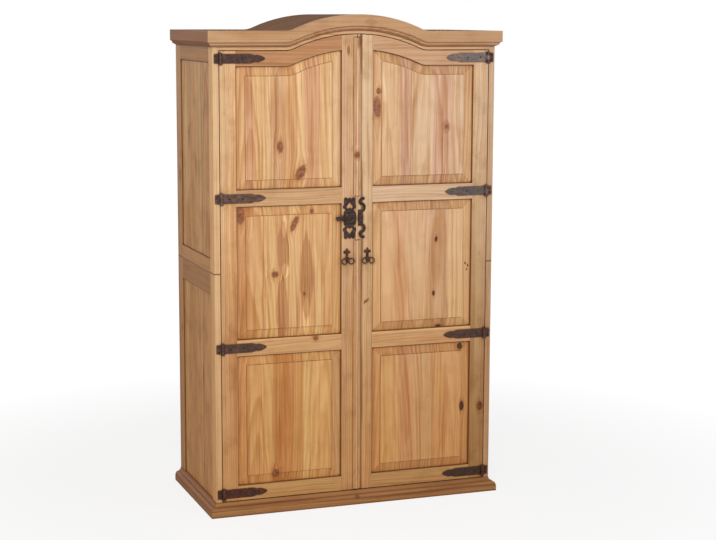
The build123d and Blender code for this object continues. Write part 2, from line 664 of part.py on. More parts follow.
left_door_rails = door_rails(
    (door_bottom_z, bottom_rail_z, False),
    (lower_rail_z, lower_rail_top_z, True),
    (upper_rail_z, upper_rail_top_z, True),
)

# ================================================================ raised panels
panel_back_y = front_y + (FRAME_THICKNESS + GROOVE_WIDTH) / 2 - PANEL_FIT
panel_edge_y = front_y + (FRAME_THICKNESS - GROOVE_WIDTH) / 2 + PANEL_FIT
panel_edge = GROOVE_DEPTH - PANEL_PLAY
slope_depth = panel_edge_y - front_y - PANEL_FIELD_DROP
panel_back_face = Plane.XZ.offset(-panel_back_y)


def raised_panel(panel_top_z, low_z, arched):
    """Panel with thin edges in the grooves, a sloping border and a flat field one step up."""
    top_line = arch_area if arched else level_area
    with BuildPart() as panel:
        with BuildSketch(panel_back_face):
            top_line(panel_top_z, low_z, opening_left_x, opening_right_x)
        extrude(amount=panel_back_y - panel_edge_y + slope_depth)
        slope_face = panel.faces().sort_by(Axis.Y)[0]
        chamfer(slope_face.edges(), length=PANEL_BORDER, length2=slope_depth, reference=slope_face)
        extrude(panel.faces().sort_by(Axis.Y)[0], amount=PANEL_FIELD_STEP)
        with BuildSketch(panel_back_face):
            top_line(
                panel_top_z + panel_edge,
                low_z - panel_edge,
                opening_left_x - panel_edge,
                opening_right_x + panel_edge,
            )
        extrude(amount=panel_back_y - panel_edge_y)
    return panel


left_bottom_panel = raised_panel(lower_rail_z, bottom_rail_z, False)
left_middle_panel = raised_panel(upper_rail_z, lower_rail_top_z, False)
left_top_panel = raised_panel(top_rail_z, upper_rail_top_z, True)

# ================================================================ meeting strips
strip_left_x = door_right_x - STRIP_WIDTH
strip_shoulder = STRIP_PROJECTION - STRIP_BEAD_RISE

with BuildPart() as left_meeting_strips:
    for low_z, high_z in (
        (door_bottom_z + STRIP_FOOT_CLEAR, LOCK_HEIGHT - LOCK_PLATE_HALF_HEIGHT - STRIP_LOCK_CLEAR),
        (
            LOCK_HEIGHT + LOCK_PLATE_HALF_HEIGHT + STRIP_LOCK_CLEAR,
            door_top_z + arch_height(strip_left_x) - STRIP_TOP_CLEAR,
        ),
    ):
        with BuildSketch(Plane(origin=(0, front_y, low_z), x_dir=(1, 0, 0), z_dir=(0, 0, 1))):
            with BuildLine():
                Polyline(
                    (door_right_x, -strip_shoulder),
                    (door_right_x, 0),
                    (strip_left_x, 0),
                    (strip_left_x, -STRIP_EDGE),
                )
                TangentArc(
                    (strip_left_x, -STRIP_EDGE),
                    (door_right_x - STRIP_BEAD_WIDTH, -strip_shoulder),
                    tangent=(1, 0),
                )
                ThreePointArc(
                    (door_right_x - STRIP_BEAD_WIDTH, -strip_shoulder),
                    (door_right_x - STRIP_BEAD_WIDTH / 2, -STRIP_PROJECTION),
                    (door_right_x, -strip_shoulder),
                )
            make_face()
        extrude(amount=high_z - low_z)

# ================================================================ strap hinges
plate_gap = HINGE_BARREL_RADIUS + HINGE_PLATE_CLEAR
leaf_knuckle_start = STRAP_KNUCKLE_LENGTH / 2 + HINGE_KNUCKLE_GAP
bridge_front_y = front_y - HINGE_WOOD_CLEAR - HINGE_PLATE
bridge_back_y = front_y - HINGE_WOOD_CLEAR
bridge_end = plate_gap + HINGE_BRIDGE_LAP


def knuckle(low_z, length, hole_radius):
    """One ring of the barrel round the pin."""
    with BuildSketch(Plane.XY.offset(low_z)) as ring:
        with Locations((hinge_x, hinge_y)):
            Circle(HINGE_BARREL_RADIUS)
            Circle(hole_radius, mode=Mode.SUBTRACT)
    extrude(ring.sketch, amount=length)


def knuckle_bridge(low_z, length, start_x, end_x):
    """Flat iron between a hinge plate and the back of its ring."""
    with BuildSketch(Plane.XY.offset(low_z)) as bridge:
        area(start_x, bridge_front_y, end_x, bridge_back_y)
        with Locations((hinge_x, hinge_y)):
            Circle(HINGE_PIN_RADIUS + HINGE_RUNNING_FIT, mode=Mode.SUBTRACT)
    extrude(bridge.sketch, amount=length)


# Fixed leaves: a plate on the post with the upper and lower ring of the barrel.
with BuildPart() as left_hinge_leaves:
    for z in hinge_heights:
        with BuildSketch(door_face):
            area(
                hinge_x - LEAF_LENGTH,
                z - HINGE_HEIGHT / 2,
                hinge_x - plate_gap,
                z + HINGE_HEIGHT / 2,
            )
        extrude(amount=HINGE_PLATE)
        plate_part = HINGE_HEIGHT / 2 - leaf_knuckle_start
        knuckle_length = HINGE_BARREL_LENGTH / 2 - leaf_knuckle_start
        knuckle(z + leaf_knuckle_start, knuckle_length, HINGE_PIN_RADIUS)
        knuckle(z - HINGE_BARREL_LENGTH / 2, knuckle_length, HINGE_PIN_RADIUS)
        knuckle_bridge(z + leaf_knuckle_start, plate_part, hinge_x - bridge_end, hinge_x)
        knuckle_bridge(z - HINGE_HEIGHT / 2, plate_part, hinge_x - bridge_end, hinge_x)

# Straps: parallel iron that tapers to a nick and ends in a spear-shaped point.
strap_width = HINGE_HEIGHT / 2
nick_width = STRAP_NICK_WIDTH / 2
taper_middle = ((STRAP_PARALLEL + STRAP_NICK) / 2, (strap_width + nick_width) / 2 + STRAP_SWELL)
spear_shoulder = (STRAP_NICK + STRAP_NICK_STEP, nick_width + STRAP_NICK_STEP)
spear_middle = (STRAP_NICK + SPEAR_ALONG * (STRAP_LENGTH - STRAP_NICK), SPEAR_ACROSS * STRAP_NICK_WIDTH)

with BuildPart() as left_straps:
    for z in hinge_heights:
        with BuildSketch(Plane(origin=(hinge_x, front_y, z), x_dir=(1, 0, 0), z_dir=(0, -1, 0))):
            with BuildLine():
                Polyline((plate_gap, 0), (plate_gap, strap_width), (STRAP_PARALLEL, strap_width))
                ThreePointArc((STRAP_PARALLEL, strap_width), taper_middle, (STRAP_NICK, nick_width))
                Line((STRAP_NICK, nick_width), spear_shoulder)
                ThreePointArc(spear_shoulder, spear_middle, (STRAP_LENGTH, 0))
                mirror(about=Plane.XZ)
            make_face()
        extrude(amount=HINGE_PLATE)
        knuckle_z = z - STRAP_KNUCKLE_LENGTH / 2
        knuckle(knuckle_z, STRAP_KNUCKLE_LENGTH, HINGE_PIN_RADIUS + HINGE_RUNNING_FIT)
        knuckle_bridge(knuckle_z, STRAP_KNUCKLE_LENGTH, hinge_x, hinge_x + bridge_end)

with BuildPart() as hinge_pins:
    for z in hinge_heights:
        with BuildSketch(Plane.XY.offset(z - HINGE_BARREL_LENGTH / 2 - PIN_END)):
            with Locations((hinge_x, hinge_y), (-hinge_x, hinge_y)):
                Circle(HINGE_PIN_RADIUS)
        extrude(amount=HINGE_BARREL_LENGTH + 2 * PIN_END)

# ================================================================ lock on the left door
lock_x = -LOCK_EDGE_CLEAR - LOCK_EAR_WIDTH / 2
bolt_back = LOCK_PLATE + BOLT_CLEAR
bolt_left_x = lock_x - LOCK_EAR_WIDTH / 2 - BOLT_TAIL
bolt_nose_x = -BOLT_NOSE_CLEAR
knob_x = lock_x - BOLT_TRAVEL / 2 + KNOB_OFFSET
lock_face = Plane(origin=(lock_x, front_y, LOCK_HEIGHT), x_dir=(1, 0, 0), z_dir=(0, -1, 0))


def heart(x, z, way):
    """Heart-shaped cut-out; way is +1 for the point up and -1 for the point down."""
    cheek_x = HEART_LOBE_SPREAD + HEART_LOBE_RADIUS * HEART_CHEEK
    cheek_z = HEART_LOBE_RADIUS / 2 - HEART_LOBE_DROP
    lobe_z = z - way * HEART_LOBE_DROP
    with Locations((x - HEART_LOBE_SPREAD, lobe_z), (x + HEART_LOBE_SPREAD, lobe_z)):
        Circle(HEART_LOBE_RADIUS, mode=Mode.SUBTRACT)
    with Locations((x, z)):
        Polygon(
            (-cheek_x, way * cheek_z),
            (0, way * HEART_POINT),
            (cheek_x, way * cheek_z),
            (0, -way * (HEART_LOBE_DROP + HEART_CLEFT)),
            align=None,
            mode=Mode.SUBTRACT,
        )


# Waisted plate: lobed ends, an ear on each side of both hearts and a notch on each side
# of the bolt's cover.
with BuildPart() as lock_plate:
    with BuildSketch(lock_face):
        Rectangle(LOCK_PLATE_WIDTH, 2 * (LOCK_PLATE_HALF_HEIGHT - LOCK_LOBE_RADIUS))
        for way in (1, -1):
            lobe_z = way * (LOCK_PLATE_HALF_HEIGHT - LOCK_LOBE_RADIUS)
            lobe_x = LOCK_PLATE_WIDTH / 2 - LOCK_LOBE_RADIUS
            with Locations((-lobe_x, lobe_z), (lobe_x, lobe_z)):
                Circle(LOCK_LOBE_RADIUS)
            with Locations((0, lobe_z)):
                Circle(LOCK_CREST_RADIUS)
            ear_x = LOCK_EAR_WIDTH / 2 - LOCK_EAR_RADIUS
            ear_z = way * LOCK_EAR_HEIGHT
            with Locations((-ear_x, ear_z), (ear_x, ear_z)):
                Circle(LOCK_EAR_RADIUS)
            notch_z = way * (BOLT_COVER_HEIGHT / 2 + LOCK_NOTCH_DISTANCE)
            with Locations((-LOCK_PLATE_WIDTH / 2, notch_z), (LOCK_PLATE_WIDTH / 2, notch_z)):
                Circle(LOCK_NOTCH_RADIUS, mode=Mode.SUBTRACT)
            heart(0, way * HEART_DISTANCE, way)
            with Locations((0, way * (BOLT_COVER_HEIGHT / 2 + LOCK_HOLE_DISTANCE))):
                Circle(LOCK_HOLE_RADIUS, mode=Mode.SUBTRACT)
    extrude(amount=LOCK_PLATE)

with BuildPart() as bolt_cover:
    with BuildSketch(lock_face.offset(LOCK_PLATE)):
        Rectangle(BOLT_COVER_LENGTH, BOLT_COVER_HEIGHT)
    extrude(amount=BOLT_COVER_DEPTH)
    chamfer(bolt_cover.faces().sort_by(Axis.Y)[0].edges(), length=BOLT_COVER_BEVEL)
    with BuildSketch(lock_face.offset(LOCK_PLATE)):
        Rectangle(BOLT_COVER_LENGTH, BOLT_HEIGHT + 2 * BOLT_CLEAR)
    extrude(amount=BOLT_THICKNESS + 2 * BOLT_CLEAR, mode=Mode.SUBTRACT)
    with BuildSketch(lock_face.offset(LOCK_PLATE)):
        with Locations((knob_x - lock_x + BOLT_TRAVEL / 2, 0)):
            SlotCenterToCenter(BOLT_TRAVEL, 2 * (KNOB_STEM_RADIUS + BOLT_CLEAR))
    extrude(amount=BOLT_COVER_DEPTH, mode=Mode.SUBTRACT)

# The bolt slides behind the cover; its knob stands through the slot.
bolt_face = Plane(origin=(0, front_y - bolt_back, LOCK_HEIGHT), x_dir=(1, 0, 0), z_dir=(0, -1, 0))
with BuildPart() as bolt:
    with BuildSketch(bolt_face):
        area(bolt_left_x, -BOLT_HEIGHT / 2, bolt_nose_x, BOLT_HEIGHT / 2)
    extrude(amount=BOLT_THICKNESS)
    chamfer(bolt.faces().sort_by(Axis.X)[0].edges(), length=BOLT_BEVEL)
    with BuildSketch(bolt_face):
        with Locations((knob_x, 0)):
            Circle(KNOB_STEM_RADIUS)
    extrude(amount=KNOB_REACH - KNOB_LENGTH - bolt_back + KNOB_STEM_LAP)
    knob_plane = Plane(
        origin=(knob_x, front_y - KNOB_REACH + KNOB_LENGTH, LOCK_HEIGHT),
        x_dir=(1, 0, 0),
        z_dir=(0, 0, 1),
    )
    with BuildSketch(knob_plane):
        Polygon(
            (0, 0),
            (KNOB_STEM_RADIUS + KNOB_COLLAR, 0),
            *((KNOB_RADIUS * wide, -KNOB_LENGTH * along) for wide, along in KNOB_PROFILE),
            (0, -KNOB_LENGTH),
            align=None,
        )
    revolve(axis=Axis((knob_x, front_y, LOCK_HEIGHT), (0, 1, 0)))

# ================================================================ keeper on the right door
keeper_left_x = LOCK_EDGE_CLEAR
keeper_right_x = keeper_left_x + KEEPER_SPINE_WIDTH
spine_x = (keeper_left_x + keeper_right_x) / 2
inset_x = keeper_left_x + KEEPER_BAND / 2 + KEEPER_INSET
belly_x = keeper_left_x + KEEPER_BELLY - KEEPER_BAND / 2
tip_x = keeper_left_x + KEEPER_REACH - KEEPER_BAND / 2
keeper_face = Plane(origin=(0, front_y, LOCK_HEIGHT), x_dir=(1, 0, 0), z_dir=(0, -1, 0))

# Upright iron that curls out and back into an S above and below the bolt's box.
with BuildPart() as keeper:
    with BuildSketch(keeper_face):
        area(keeper_left_x, -KEEPER_SPINE_HALF_HEIGHT, keeper_right_x, KEEPER_SPINE_HALF_HEIGHT)
        for way in (1, -1):
            start = (spine_x, way * (KEEPER_SPINE_HALF_HEIGHT - KEEPER_BAND / 2))
            belly = (belly_x, way * KEEPER_BELLY_SHARE * LOCK_PLATE_HALF_HEIGHT)
            turn = (inset_x + KEEPER_TURN_SHIFT, way * KEEPER_TURN_SHARE * LOCK_PLATE_HALF_HEIGHT)
            curl = (inset_x + KEEPER_CURL_SHIFT, way * KEEPER_CURL_SHARE * LOCK_PLATE_HALF_HEIGHT)
            tip = (tip_x, way * (LOCK_PLATE_HALF_HEIGHT - KEEPER_BAND / 2))
            with BuildLine() as scroll:
                ThreePointArc(start, belly, turn)
                ThreePointArc(turn, curl, tip)
            trace(scroll.edges(), line_width=KEEPER_BAND)
            with Locations(turn, tip):
                Circle(KEEPER_BAND / 2)
    extrude(amount=LOCK_PLATE)

with BuildPart() as keeper_box:
    with BuildSketch(keeper_face.offset(LOCK_PLATE)):
        area(keeper_left_x, -KEEPER_BOX_HEIGHT / 2, keeper_right_x, KEEPER_BOX_HEIGHT / 2)
    extrude(amount=BOLT_THICKNESS + 2 * BOLT_CLEAR + KEEPER_WALL)
    chamfer(keeper_box.faces().sort_by(Axis.Y)[0].edges(), length=KEEPER_BOX_BEVEL)
    with BuildSketch(keeper_face.offset(LOCK_PLATE)):
        area(
            keeper_left_x,
            -BOLT_HEIGHT / 2 - BOLT_CLEAR,
            keeper_right_x - KEEPER_WALL,
            BOLT_HEIGHT / 2 + BOLT_CLEAR,
        )
    extrude(amount=BOLT_THICKNESS + 2 * BOLT_CLEAR, mode=Mode.SUBTRACT)

# ================================================================ drop pulls
pull_z = LOCK_HEIGHT - LOCK_PLATE_HALF_HEIGHT - PULL_DROP
pull_face = Plane(origin=(-PULL_OFFSET, front_y, pull_z), x_dir=(1, 0, 0), z_dir=(0, -1, 0))
pivot_y = front_y - PULL_PIVOT_REACH

with BuildPart() as left_pull_plate:
    with BuildSketch(pull_face):
        Circle(PULL_COLLAR_RADIUS)
        Polygon(*PULL_NECK, align=None)
        for across, up, radius in PULL_LEAVES:
            with Locations((across, up)):
                Circle(radius)
        Polygon(*PULL_TIP, align=None)
        area(-PULL_TAIL_RADIUS, -PULL_TAIL_LENGTH, PULL_TAIL_RADIUS, 0)
        with Locations((0, -PULL_TAIL_LENGTH)):
            Circle(PULL_TAIL_RADIUS)
    extrude(amount=PULL_PLATE)
    with BuildSketch(Plane.YZ.offset(-PULL_OFFSET - EYE_WIDTH / 2)):
        area(pivot_y, pull_z - EYE_RADIUS, front_y - PULL_PLATE, pull_z + EYE_RADIUS)
        with Locations((pivot_y, pull_z)):
            Circle(EYE_RADIUS)
            Circle(BAIL_BAR_RADIUS + BAIL_RUNNING_FIT, mode=Mode.SUBTRACT)
    extrude(amount=EYE_WIDTH)

# Bail: a short bar through the eye and two rings hanging side by side from its ends.
ring_x = BAIL_RING_RADIUS + BAIL_ROD_RADIUS - BAIL_RING_LAP
ring_z = pull_z - BAIL_RING_RADIUS
with BuildPart() as left_bail:
    with BuildSketch(Plane.YZ.offset(-PULL_OFFSET - ring_x)):
        with Locations((pivot_y, pull_z)):
            Circle(BAIL_BAR_RADIUS)
    extrude(amount=2 * ring_x)
    for side in (-1, 1):
        ring_centre = (-PULL_OFFSET + side * ring_x, pivot_y, ring_z)
        with BuildSketch(Plane(origin=ring_centre, x_dir=(0, 0, 1), z_dir=(1, 0, 0))):
            with Locations((BAIL_RING_RADIUS, 0)):
                RegularPolygon(BAIL_ROD_RADIUS, BAIL_ROD_SIDES, rotation=180 / BAIL_ROD_SIDES)
        revolve(axis=Axis(ring_centre, (0, 1, 0)))

# ================================================================ names and files
pieces = {
    "plinth_front": plinth_front,
    "front_rail": front_rail,
    "back_rails": back_rails,
    "back_upper_rail": back_upper_rail,
    "back_head_rail": back_head_rail,
    "lower_back": lower_back,
    "upper_back": upper_back,
    "lower_boards": lower_boards,
    "upper_bottom_board": upper_bottom_board,
    "shelves": shelves,
    "cleats": cleats,
    "head_board": head_board,
    "roof": roof,
    "cornice_front": cornice_front,
    "hinge_pins": hinge_pins,
    "lock_plate": lock_plate,
    "bolt_cover": bolt_cover,
    "bolt": bolt,
    "keeper": keeper,
    "keeper_box": keeper_box,
}

# Made for the left side and mirrored to the right.
handed_pieces = {
    "plinth": plinth_left,
    "lower_stiles": left_lower_stiles,
    "upper_stiles": left_upper_stiles,
    "lower_rails": left_lower_rails,
    "upper_rails": left_upper_rails,
    "lower_panel": left_lower_panel,
    "upper_panel": left_upper_panel,
    "cornice": cornice_left,
    "hinge_leaves": left_hinge_leaves,
    "door_hinge_stile": left_hinge_stile,
    "door_lock_stile": left_lock_stile,
    "door_top_rail": left_top_rail,
    "door_rails": left_door_rails,
    "door_bottom_panel": left_bottom_panel,
    "door_middle_panel": left_middle_panel,
    "door_top_panel": left_top_panel,
    "meeting_strips": left_meeting_strips,
    "straps": left_straps,
    "pull_plate": left_pull_plate,
    "bail": left_bail,
}

for name, piece in handed_pieces.items():
    with BuildPart() as mirrored:
        mirror(piece.part, about=Plane.YZ)
    pieces["left_" + name] = piece
    pieces["right_" + name] = mirrored

for name, piece in pieces.items():
    piece.part.label = name
    export_step(piece.part, f"parts/{name}.step")
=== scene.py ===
import bpy
import json
import random
from math import cos, pi, radians, sin
from mathutils import Matrix, Vector


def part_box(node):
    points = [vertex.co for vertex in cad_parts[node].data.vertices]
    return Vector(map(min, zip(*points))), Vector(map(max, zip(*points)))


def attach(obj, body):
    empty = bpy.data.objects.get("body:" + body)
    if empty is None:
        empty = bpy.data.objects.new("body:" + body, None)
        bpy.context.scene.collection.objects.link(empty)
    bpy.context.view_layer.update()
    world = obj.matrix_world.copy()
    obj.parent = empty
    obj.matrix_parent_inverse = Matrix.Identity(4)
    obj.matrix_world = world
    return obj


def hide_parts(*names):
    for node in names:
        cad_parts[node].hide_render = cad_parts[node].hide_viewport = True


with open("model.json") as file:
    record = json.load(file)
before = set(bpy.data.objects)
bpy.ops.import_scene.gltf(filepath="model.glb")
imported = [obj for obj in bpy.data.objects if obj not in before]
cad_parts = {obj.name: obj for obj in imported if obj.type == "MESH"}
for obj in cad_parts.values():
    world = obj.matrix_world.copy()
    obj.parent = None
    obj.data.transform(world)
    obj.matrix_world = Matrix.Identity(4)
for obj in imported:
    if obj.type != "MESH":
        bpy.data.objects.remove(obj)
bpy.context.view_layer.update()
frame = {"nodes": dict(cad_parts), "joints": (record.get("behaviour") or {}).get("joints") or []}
nodes = frame["nodes"]
random.seed(7)


def low(node):
    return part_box(node)[0]


def high(node):
    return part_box(node)[1]


# Metres. The cabinet's doors face -Y; the places below come from the frame where they can.
front_y = low("left_door_hinge_stile").y
hinge_x = next(j for j in frame["joints"] if j["name"] == "left_door_hinge")["pos_m"][0]

# -------- camera
FOCAL_PIXELS = 1667.5
IMAGE_WIDTH = 716
SENSOR_WIDTH = 36.0         # millimetres
CAMERA_PLACE = Vector((-2.2648, -6.5126, 1.9747))
CAMERA_YAW = radians(20.0)
CAMERA_PITCH = radians(-8.64)
CAMERA_ROLL = radians(0.2)

ahead = Vector((
    sin(CAMERA_YAW) * cos(CAMERA_PITCH),
    cos(CAMERA_YAW) * cos(CAMERA_PITCH),
    sin(CAMERA_PITCH),
))
level_right = ahead.cross(Vector((0, 0, 1))).normalized()
level_up = level_right.cross(ahead)
camera_right = cos(CAMERA_ROLL) * level_right + sin(CAMERA_ROLL) * level_up
camera_up = -sin(CAMERA_ROLL) * level_right + cos(CAMERA_ROLL) * level_up

lens = bpy.data.cameras.new("camera")
lens.sensor_fit = "HORIZONTAL"
lens.sensor_width = SENSOR_WIDTH
lens.lens = FOCAL_PIXELS * SENSOR_WIDTH / IMAGE_WIDTH
lens.clip_end = 100.0
camera = bpy.data.objects.new("camera", lens)
bpy.context.scene.collection.objects.link(camera)
turn = Matrix((camera_right, camera_up, -ahead)).transposed().to_4x4()
camera.matrix_world = Matrix.Translation(CAMERA_PLACE) @ turn
bpy.context.scene.camera = camera
bpy.context.scene.view_settings.view_transform = "Standard"


# -------- node helpers
class Tree:
    """Short calls for building one material out of nodes."""

    def __init__(self, name):
        self.material = bpy.data.materials.new(name)
        self.material.use_nodes = True
        self.tree = self.material.node_tree
        self.shader = self.tree.nodes["Principled BSDF"]
        self.output = self.tree.nodes["Material Output"]

    def put(self, kind, **settings):
        node = self.tree.nodes.new("ShaderNode" + kind)
        for key, value in settings.items():
            setattr(node, key, value)
        return node

    def feed(self, socket, value):
        if isinstance(value, bpy.types.NodeSocket):
            self.tree.links.new(value, socket)
        elif value is not None:
            socket.default_value = value

    def maths(self, operation, first, second=None, third=None):
        node = self.put("Math", operation=operation)
        for socket, value in zip(node.inputs, (first, second, third)):
            self.feed(socket, value)
        return node.outputs[0]

    def smooth(self, value, low, high, start=0.0, end=1.0):
        """Soft step from start to end as value goes from low to high."""
        node = self.put("MapRange", interpolation_type="SMOOTHSTEP")
        for socket, given in zip(node.inputs, (value, low, high, start, end)):
            self.feed(socket, given)
        return node.outputs[0]

    def combine(self, x, y, z):
        node = self.put("CombineXYZ")
        for socket, value in zip(node.inputs, (x, y, z)):
            self.feed(socket, value)
        return node.outputs[0]

    def noise(self, vector, scale=1.0, detail=2.0, roughness=0.5):
        node = self.put("TexNoise", noise_dimensions="3D")
        self.feed(node.inputs["Vector"], vector)
        node.inputs["Scale"].default_value = scale
        node.inputs["Detail"].default_value = detail
        node.inputs["Roughness"].default_value = roughness
        return node.outputs["Fac"]

    def mix(self, factor, first, second, blend="MIX"):
        """Colours use the node's inputs 6 and 7 and its output 2."""
        node = self.put("Mix", data_type="RGBA", blend_type=blend)
        self.feed(node.inputs[0], factor)
        self.feed(node.inputs[6], first)
        self.feed(node.inputs[7], second)
        return node.outputs[2]

    def tint(self, factor, colour, tint):
        """Colour multiplied by the tint, as far as the factor says."""
        return self.mix(factor, colour, self.mix(1.0, colour, tint, "MULTIPLY"))

    def spread(self, value, width):
        """Value from 0 to 1, moved to lie evenly about 0 over the width."""
        return self.maths("MULTIPLY_ADD", value, width, -width / 2)

    def away(self, value, place):
        """Distance of the value from a place."""
        return self.maths("ABSOLUTE", self.maths("SUBTRACT", value, place))

    def gather(self, operation, gathered, value):
        """Value joined to what was gathered before it, which is None at first."""
        return value if gathered is None else self.maths(operation, gathered, value)

    def ellipse(self, vector, place, radii, angle):
        """Distance from an ellipse's middle, 1 on its rim; the vector has nothing on its third axis."""
        node = self.put("Mapping", vector_type="TEXTURE")
        self.feed(node.inputs["Vector"], vector)
        node.inputs["Location"].default_value = (place[0], place[1], 0)
        node.inputs["Rotation"].default_value = (0, 0, radians(angle))
        node.inputs["Scale"].default_value = (radii[0], radii[1], 1)
        length = self.put("VectorMath", operation="LENGTH")
        self.feed(length.inputs[0], node.outputs[0])
        return length.outputs["Value"]

    def occlusion(self, reach, samples=8):
        """1 in the open, less in corners, as far as surfaces within reach hide the light."""
        node = self.put("AmbientOcclusion", samples=samples)
        node.inputs["Distance"].default_value = reach
        return node.outputs["AO"]

    def softened(self, radius):
        """Normal with the edges rounded, and how far it agrees with the true one."""
        soft = self.put("Bevel", samples=4)
        soft.inputs["Radius"].default_value = radius
        agree = self.put("VectorMath", operation="DOT_PRODUCT")
        self.feed(agree.inputs[0], soft.outputs[0])
        self.feed(agree.inputs[1], self.put("NewGeometry").outputs["Normal"])
        return soft.outputs[0], agree.outputs["Value"]

    def surface(self, colour, roughness, height, normal, strength, distance):
        """Feeds the shader its colour, its roughness and a bump on top of the normal."""
        self.feed(self.shader.inputs["Base Color"], colour)
        self.feed(self.shader.inputs["Roughness"], roughness)
        bump = self.put("Bump")
        bump.inputs["Strength"].default_value = strength
        bump.inputs["Distance"].default_value = distance
        self.feed(bump.inputs["Height"], height)
        self.feed(bump.inputs["Normal"], normal)
        self.feed(self.shader.inputs["Normal"], bump.outputs[0])
        return self.material


def linear(red, green, blue):
    """Colour written in 0 to 255 as it looks, turned into the light that it sends back."""
    values = [c / 255 for c in (red, green, blue)]
    return [v / 12.92 if v <= 0.04045 else ((v + 0.055) / 1.055) ** 2.4 for v in values] + [1.0]


# -------- pine
class Board:
    """One stripe of a piece across the grain: a new board, or heartwood and sapwood within one."""

    def __init__(self, start, tone, heart=None, depth=0.31, taper=0.02, seam=0.0):
        self.start = start      # across the grain, metres
        self.tone = tone
        self.heart = heart      # middle of the growth rings, or None to carry on the rings before
        self.depth = depth      # distance of the log's heart behind the face at height 0
        self.taper = taper      # how fast that distance changes along the grain
        self.seam = seam        # darkness of the glue line at the start


class Patch:
    """Pointed flame of other wood: its middle, half width, half height and tone."""

    def __init__(self, across, along, half_width, half_height, tone, crisp=False):
        self.across = across
        self.along = along
        self.half_width = half_width
        self.half_height = half_height
        self.tone = tone
        self.crisp = crisp


class Knot:
    """Live knot, or a dead one that is nearly black."""

    def __init__(self, across, along, half_width, half_height, angle=0.0, dead=False):
        self.place = (across, along)
        self.radii = (half_width, half_height)
        self.angle = angle
        self.dead = dead


# Tones of boards.
STRAW = linear(228, 186, 134)
HONEY = linear(220, 172, 120)
ROSE = linear(216, 166, 124)
TAN = linear(214, 170, 126)
AMBER = linear(210, 156, 104)
PALE = linear(230, 190, 144)
BROWN = linear(193, 151, 110)
SHADED_RUSSET = linear(159, 104, 54)
DUST = linear(158, 126, 101)
PLINTH_SIDE = linear(205, 143, 80)

# Tones that cover the ones under them.
FLECK = linear(150, 100, 60)
KNOT_DARK = linear(122, 68, 42)
KNOT_LIGHT = linear(168, 104, 70)
KNOT_RIM = linear(80, 42, 26)
DEAD_KNOT = linear(66, 44, 30)
GLUE_LINE = linear(128, 80, 46)
# Painted shade and old wax: the corner and crease colours darken corners and creases, where shade falls.
CORNER_SHADE_AND_WAX = linear(104, 60, 30)
CREASE_SHADE_AND_WAX = linear(120, 74, 40)
# Painted highlight on the iron's raised dents, and on its edges together with their wear.
DENT_HIGHLIGHT = linear(104, 92, 90)
DENT_DARK = linear(40, 28, 24)
WORN_IRON_AND_HIGHLIGHT = linear(168, 150, 140)

# Tints that multiply the tone under them: first those for the top and the foot of the cabinet, painted light
# up high and painted shade towards the floor.
WARM_TOP_LIGHT = (1.05, 1.06, 1.14, 1.0)
COOL_TOP_LIGHT = (1.09, 1.17, 1.42, 1.0)
NEARLY_PLAIN = (1.02, 1.02, 1.02, 1.0)
LOW_SHADE = (0.91, 0.83, 0.65, 1.0)
SIDE_TOP = (0.98, 0.91, 0.77, 1.0)
SIDE_FOOT = (0.83, 0.655, 0.375, 1.0)
POST_FOOT = (0.80, 0.73, 0.61, 1.0)
PLINTH_FOOT = (0.53, 0.44, 0.27, 1.0)

DARK_STREAK = linear(232, 218, 200)
LIGHT_STREAK = (1.07, 1.10, 1.12, 1.0)
LATEWOOD = linear(238, 222, 198)
RING = linear(224, 200, 168)
THREAD = linear(228, 212, 190)
PINKER = (1.03, 0.96, 0.97, 1.0)
YELLOWER = (0.98, 1.03, 0.90, 1.0)
FLAME = (0.745, 0.64, 0.60, 1.0)
CLEAR = (1.26, 1.42, 1.55, 1.0)     # turns a flame back to light wood
SHADE = linear(242, 232, 220)
MAUVE = (0.84, 0.74, 0.74, 1.0)
# Dark smudge, and also the painted shadow at the top of the meeting strips.
SMUDGE_AND_SHADOW = (0.56, 0.46, 0.38, 1.0)
GLINT = (1.10, 1.16, 1.22, 1.0)
HALO = linear(236, 208, 180)
STAIN = (0.90, 0.87, 0.82, 1.0)
RUBBED = (1.04, 1.05, 1.04, 1.0)
# Painted shade and old wax in the hollows.
HOLLOW_SHADE_AND_WAX = (0.66, 0.56, 0.40, 1.0)
WORN_EDGE = (1.15, 1.2, 1.25, 1.0)
# Painted shade on the door panels' bevels, and painted light on the posts' sideways faces.
LEFT_BEVEL_SHADE = (1.0, 0.985, 0.95, 1.0)
RIGHT_BEVEL_SHADE = (0.90, 0.85, 0.77, 1.0)
POST_SIDE_LIGHT = (1.16, 1.02, 0.82, 1.0)

# Patterns that run with the grain: stripes per metre across it, stretch along it, a number that
# keeps the pattern apart from the others, and detail.
BROAD = (17.0, 0.55, 5.0, 2.0)
HUES = (30.0, 0.7, 15.0, 2.0)
MIDDLING = (62.0, 0.9, 7.0, 2.0)
THREADS = (118.0, 0.9, 19.0, 1.0)
NARROW = (210.0, 1.9, 9.0, 2.0)
SHORT_GRAIN = (330.0, 3.0, 17.0, 2.0)
FIBRES = (900.0, 10.0, 11.0, 3.0)
FLECKS = (1300.0, 46.0, 13.0, 1.0)

MIDDLING_SHARE = 1.1
STREAK_CONTRAST = 1.15
SHORT_CONTRAST = 2.4
SHORT_LEVEL = 1.45
WANDER = 0.036              # metres that the grain strays, in long waves and in short ones
RIPPLE = 0.004
HEART_SWAY = 0.020          # metres that the log's heart strays behind the face
TONE_BLEND = 0.006          # half width of the change from one tone to the next
KNOT_UNEVENNESS = 0.6       # share of a knot's size
CRISP_EDGE = (1.06, 0.86)   # where a patch begins and where it is full, 1 on its rim
SOFT_EDGE = (1.25, 0.55)
CORNER_REACH = 0.012
HOLLOW_REACH = 0.035
CREASE_REACH = 0.0055
WOOD_EDGE_RADIUS = 0.0016
WOOD_RELIEF = 0.0006
IRON_EDGE_RADIUS = 0.0009
IRON_RELIEF = 0.0013


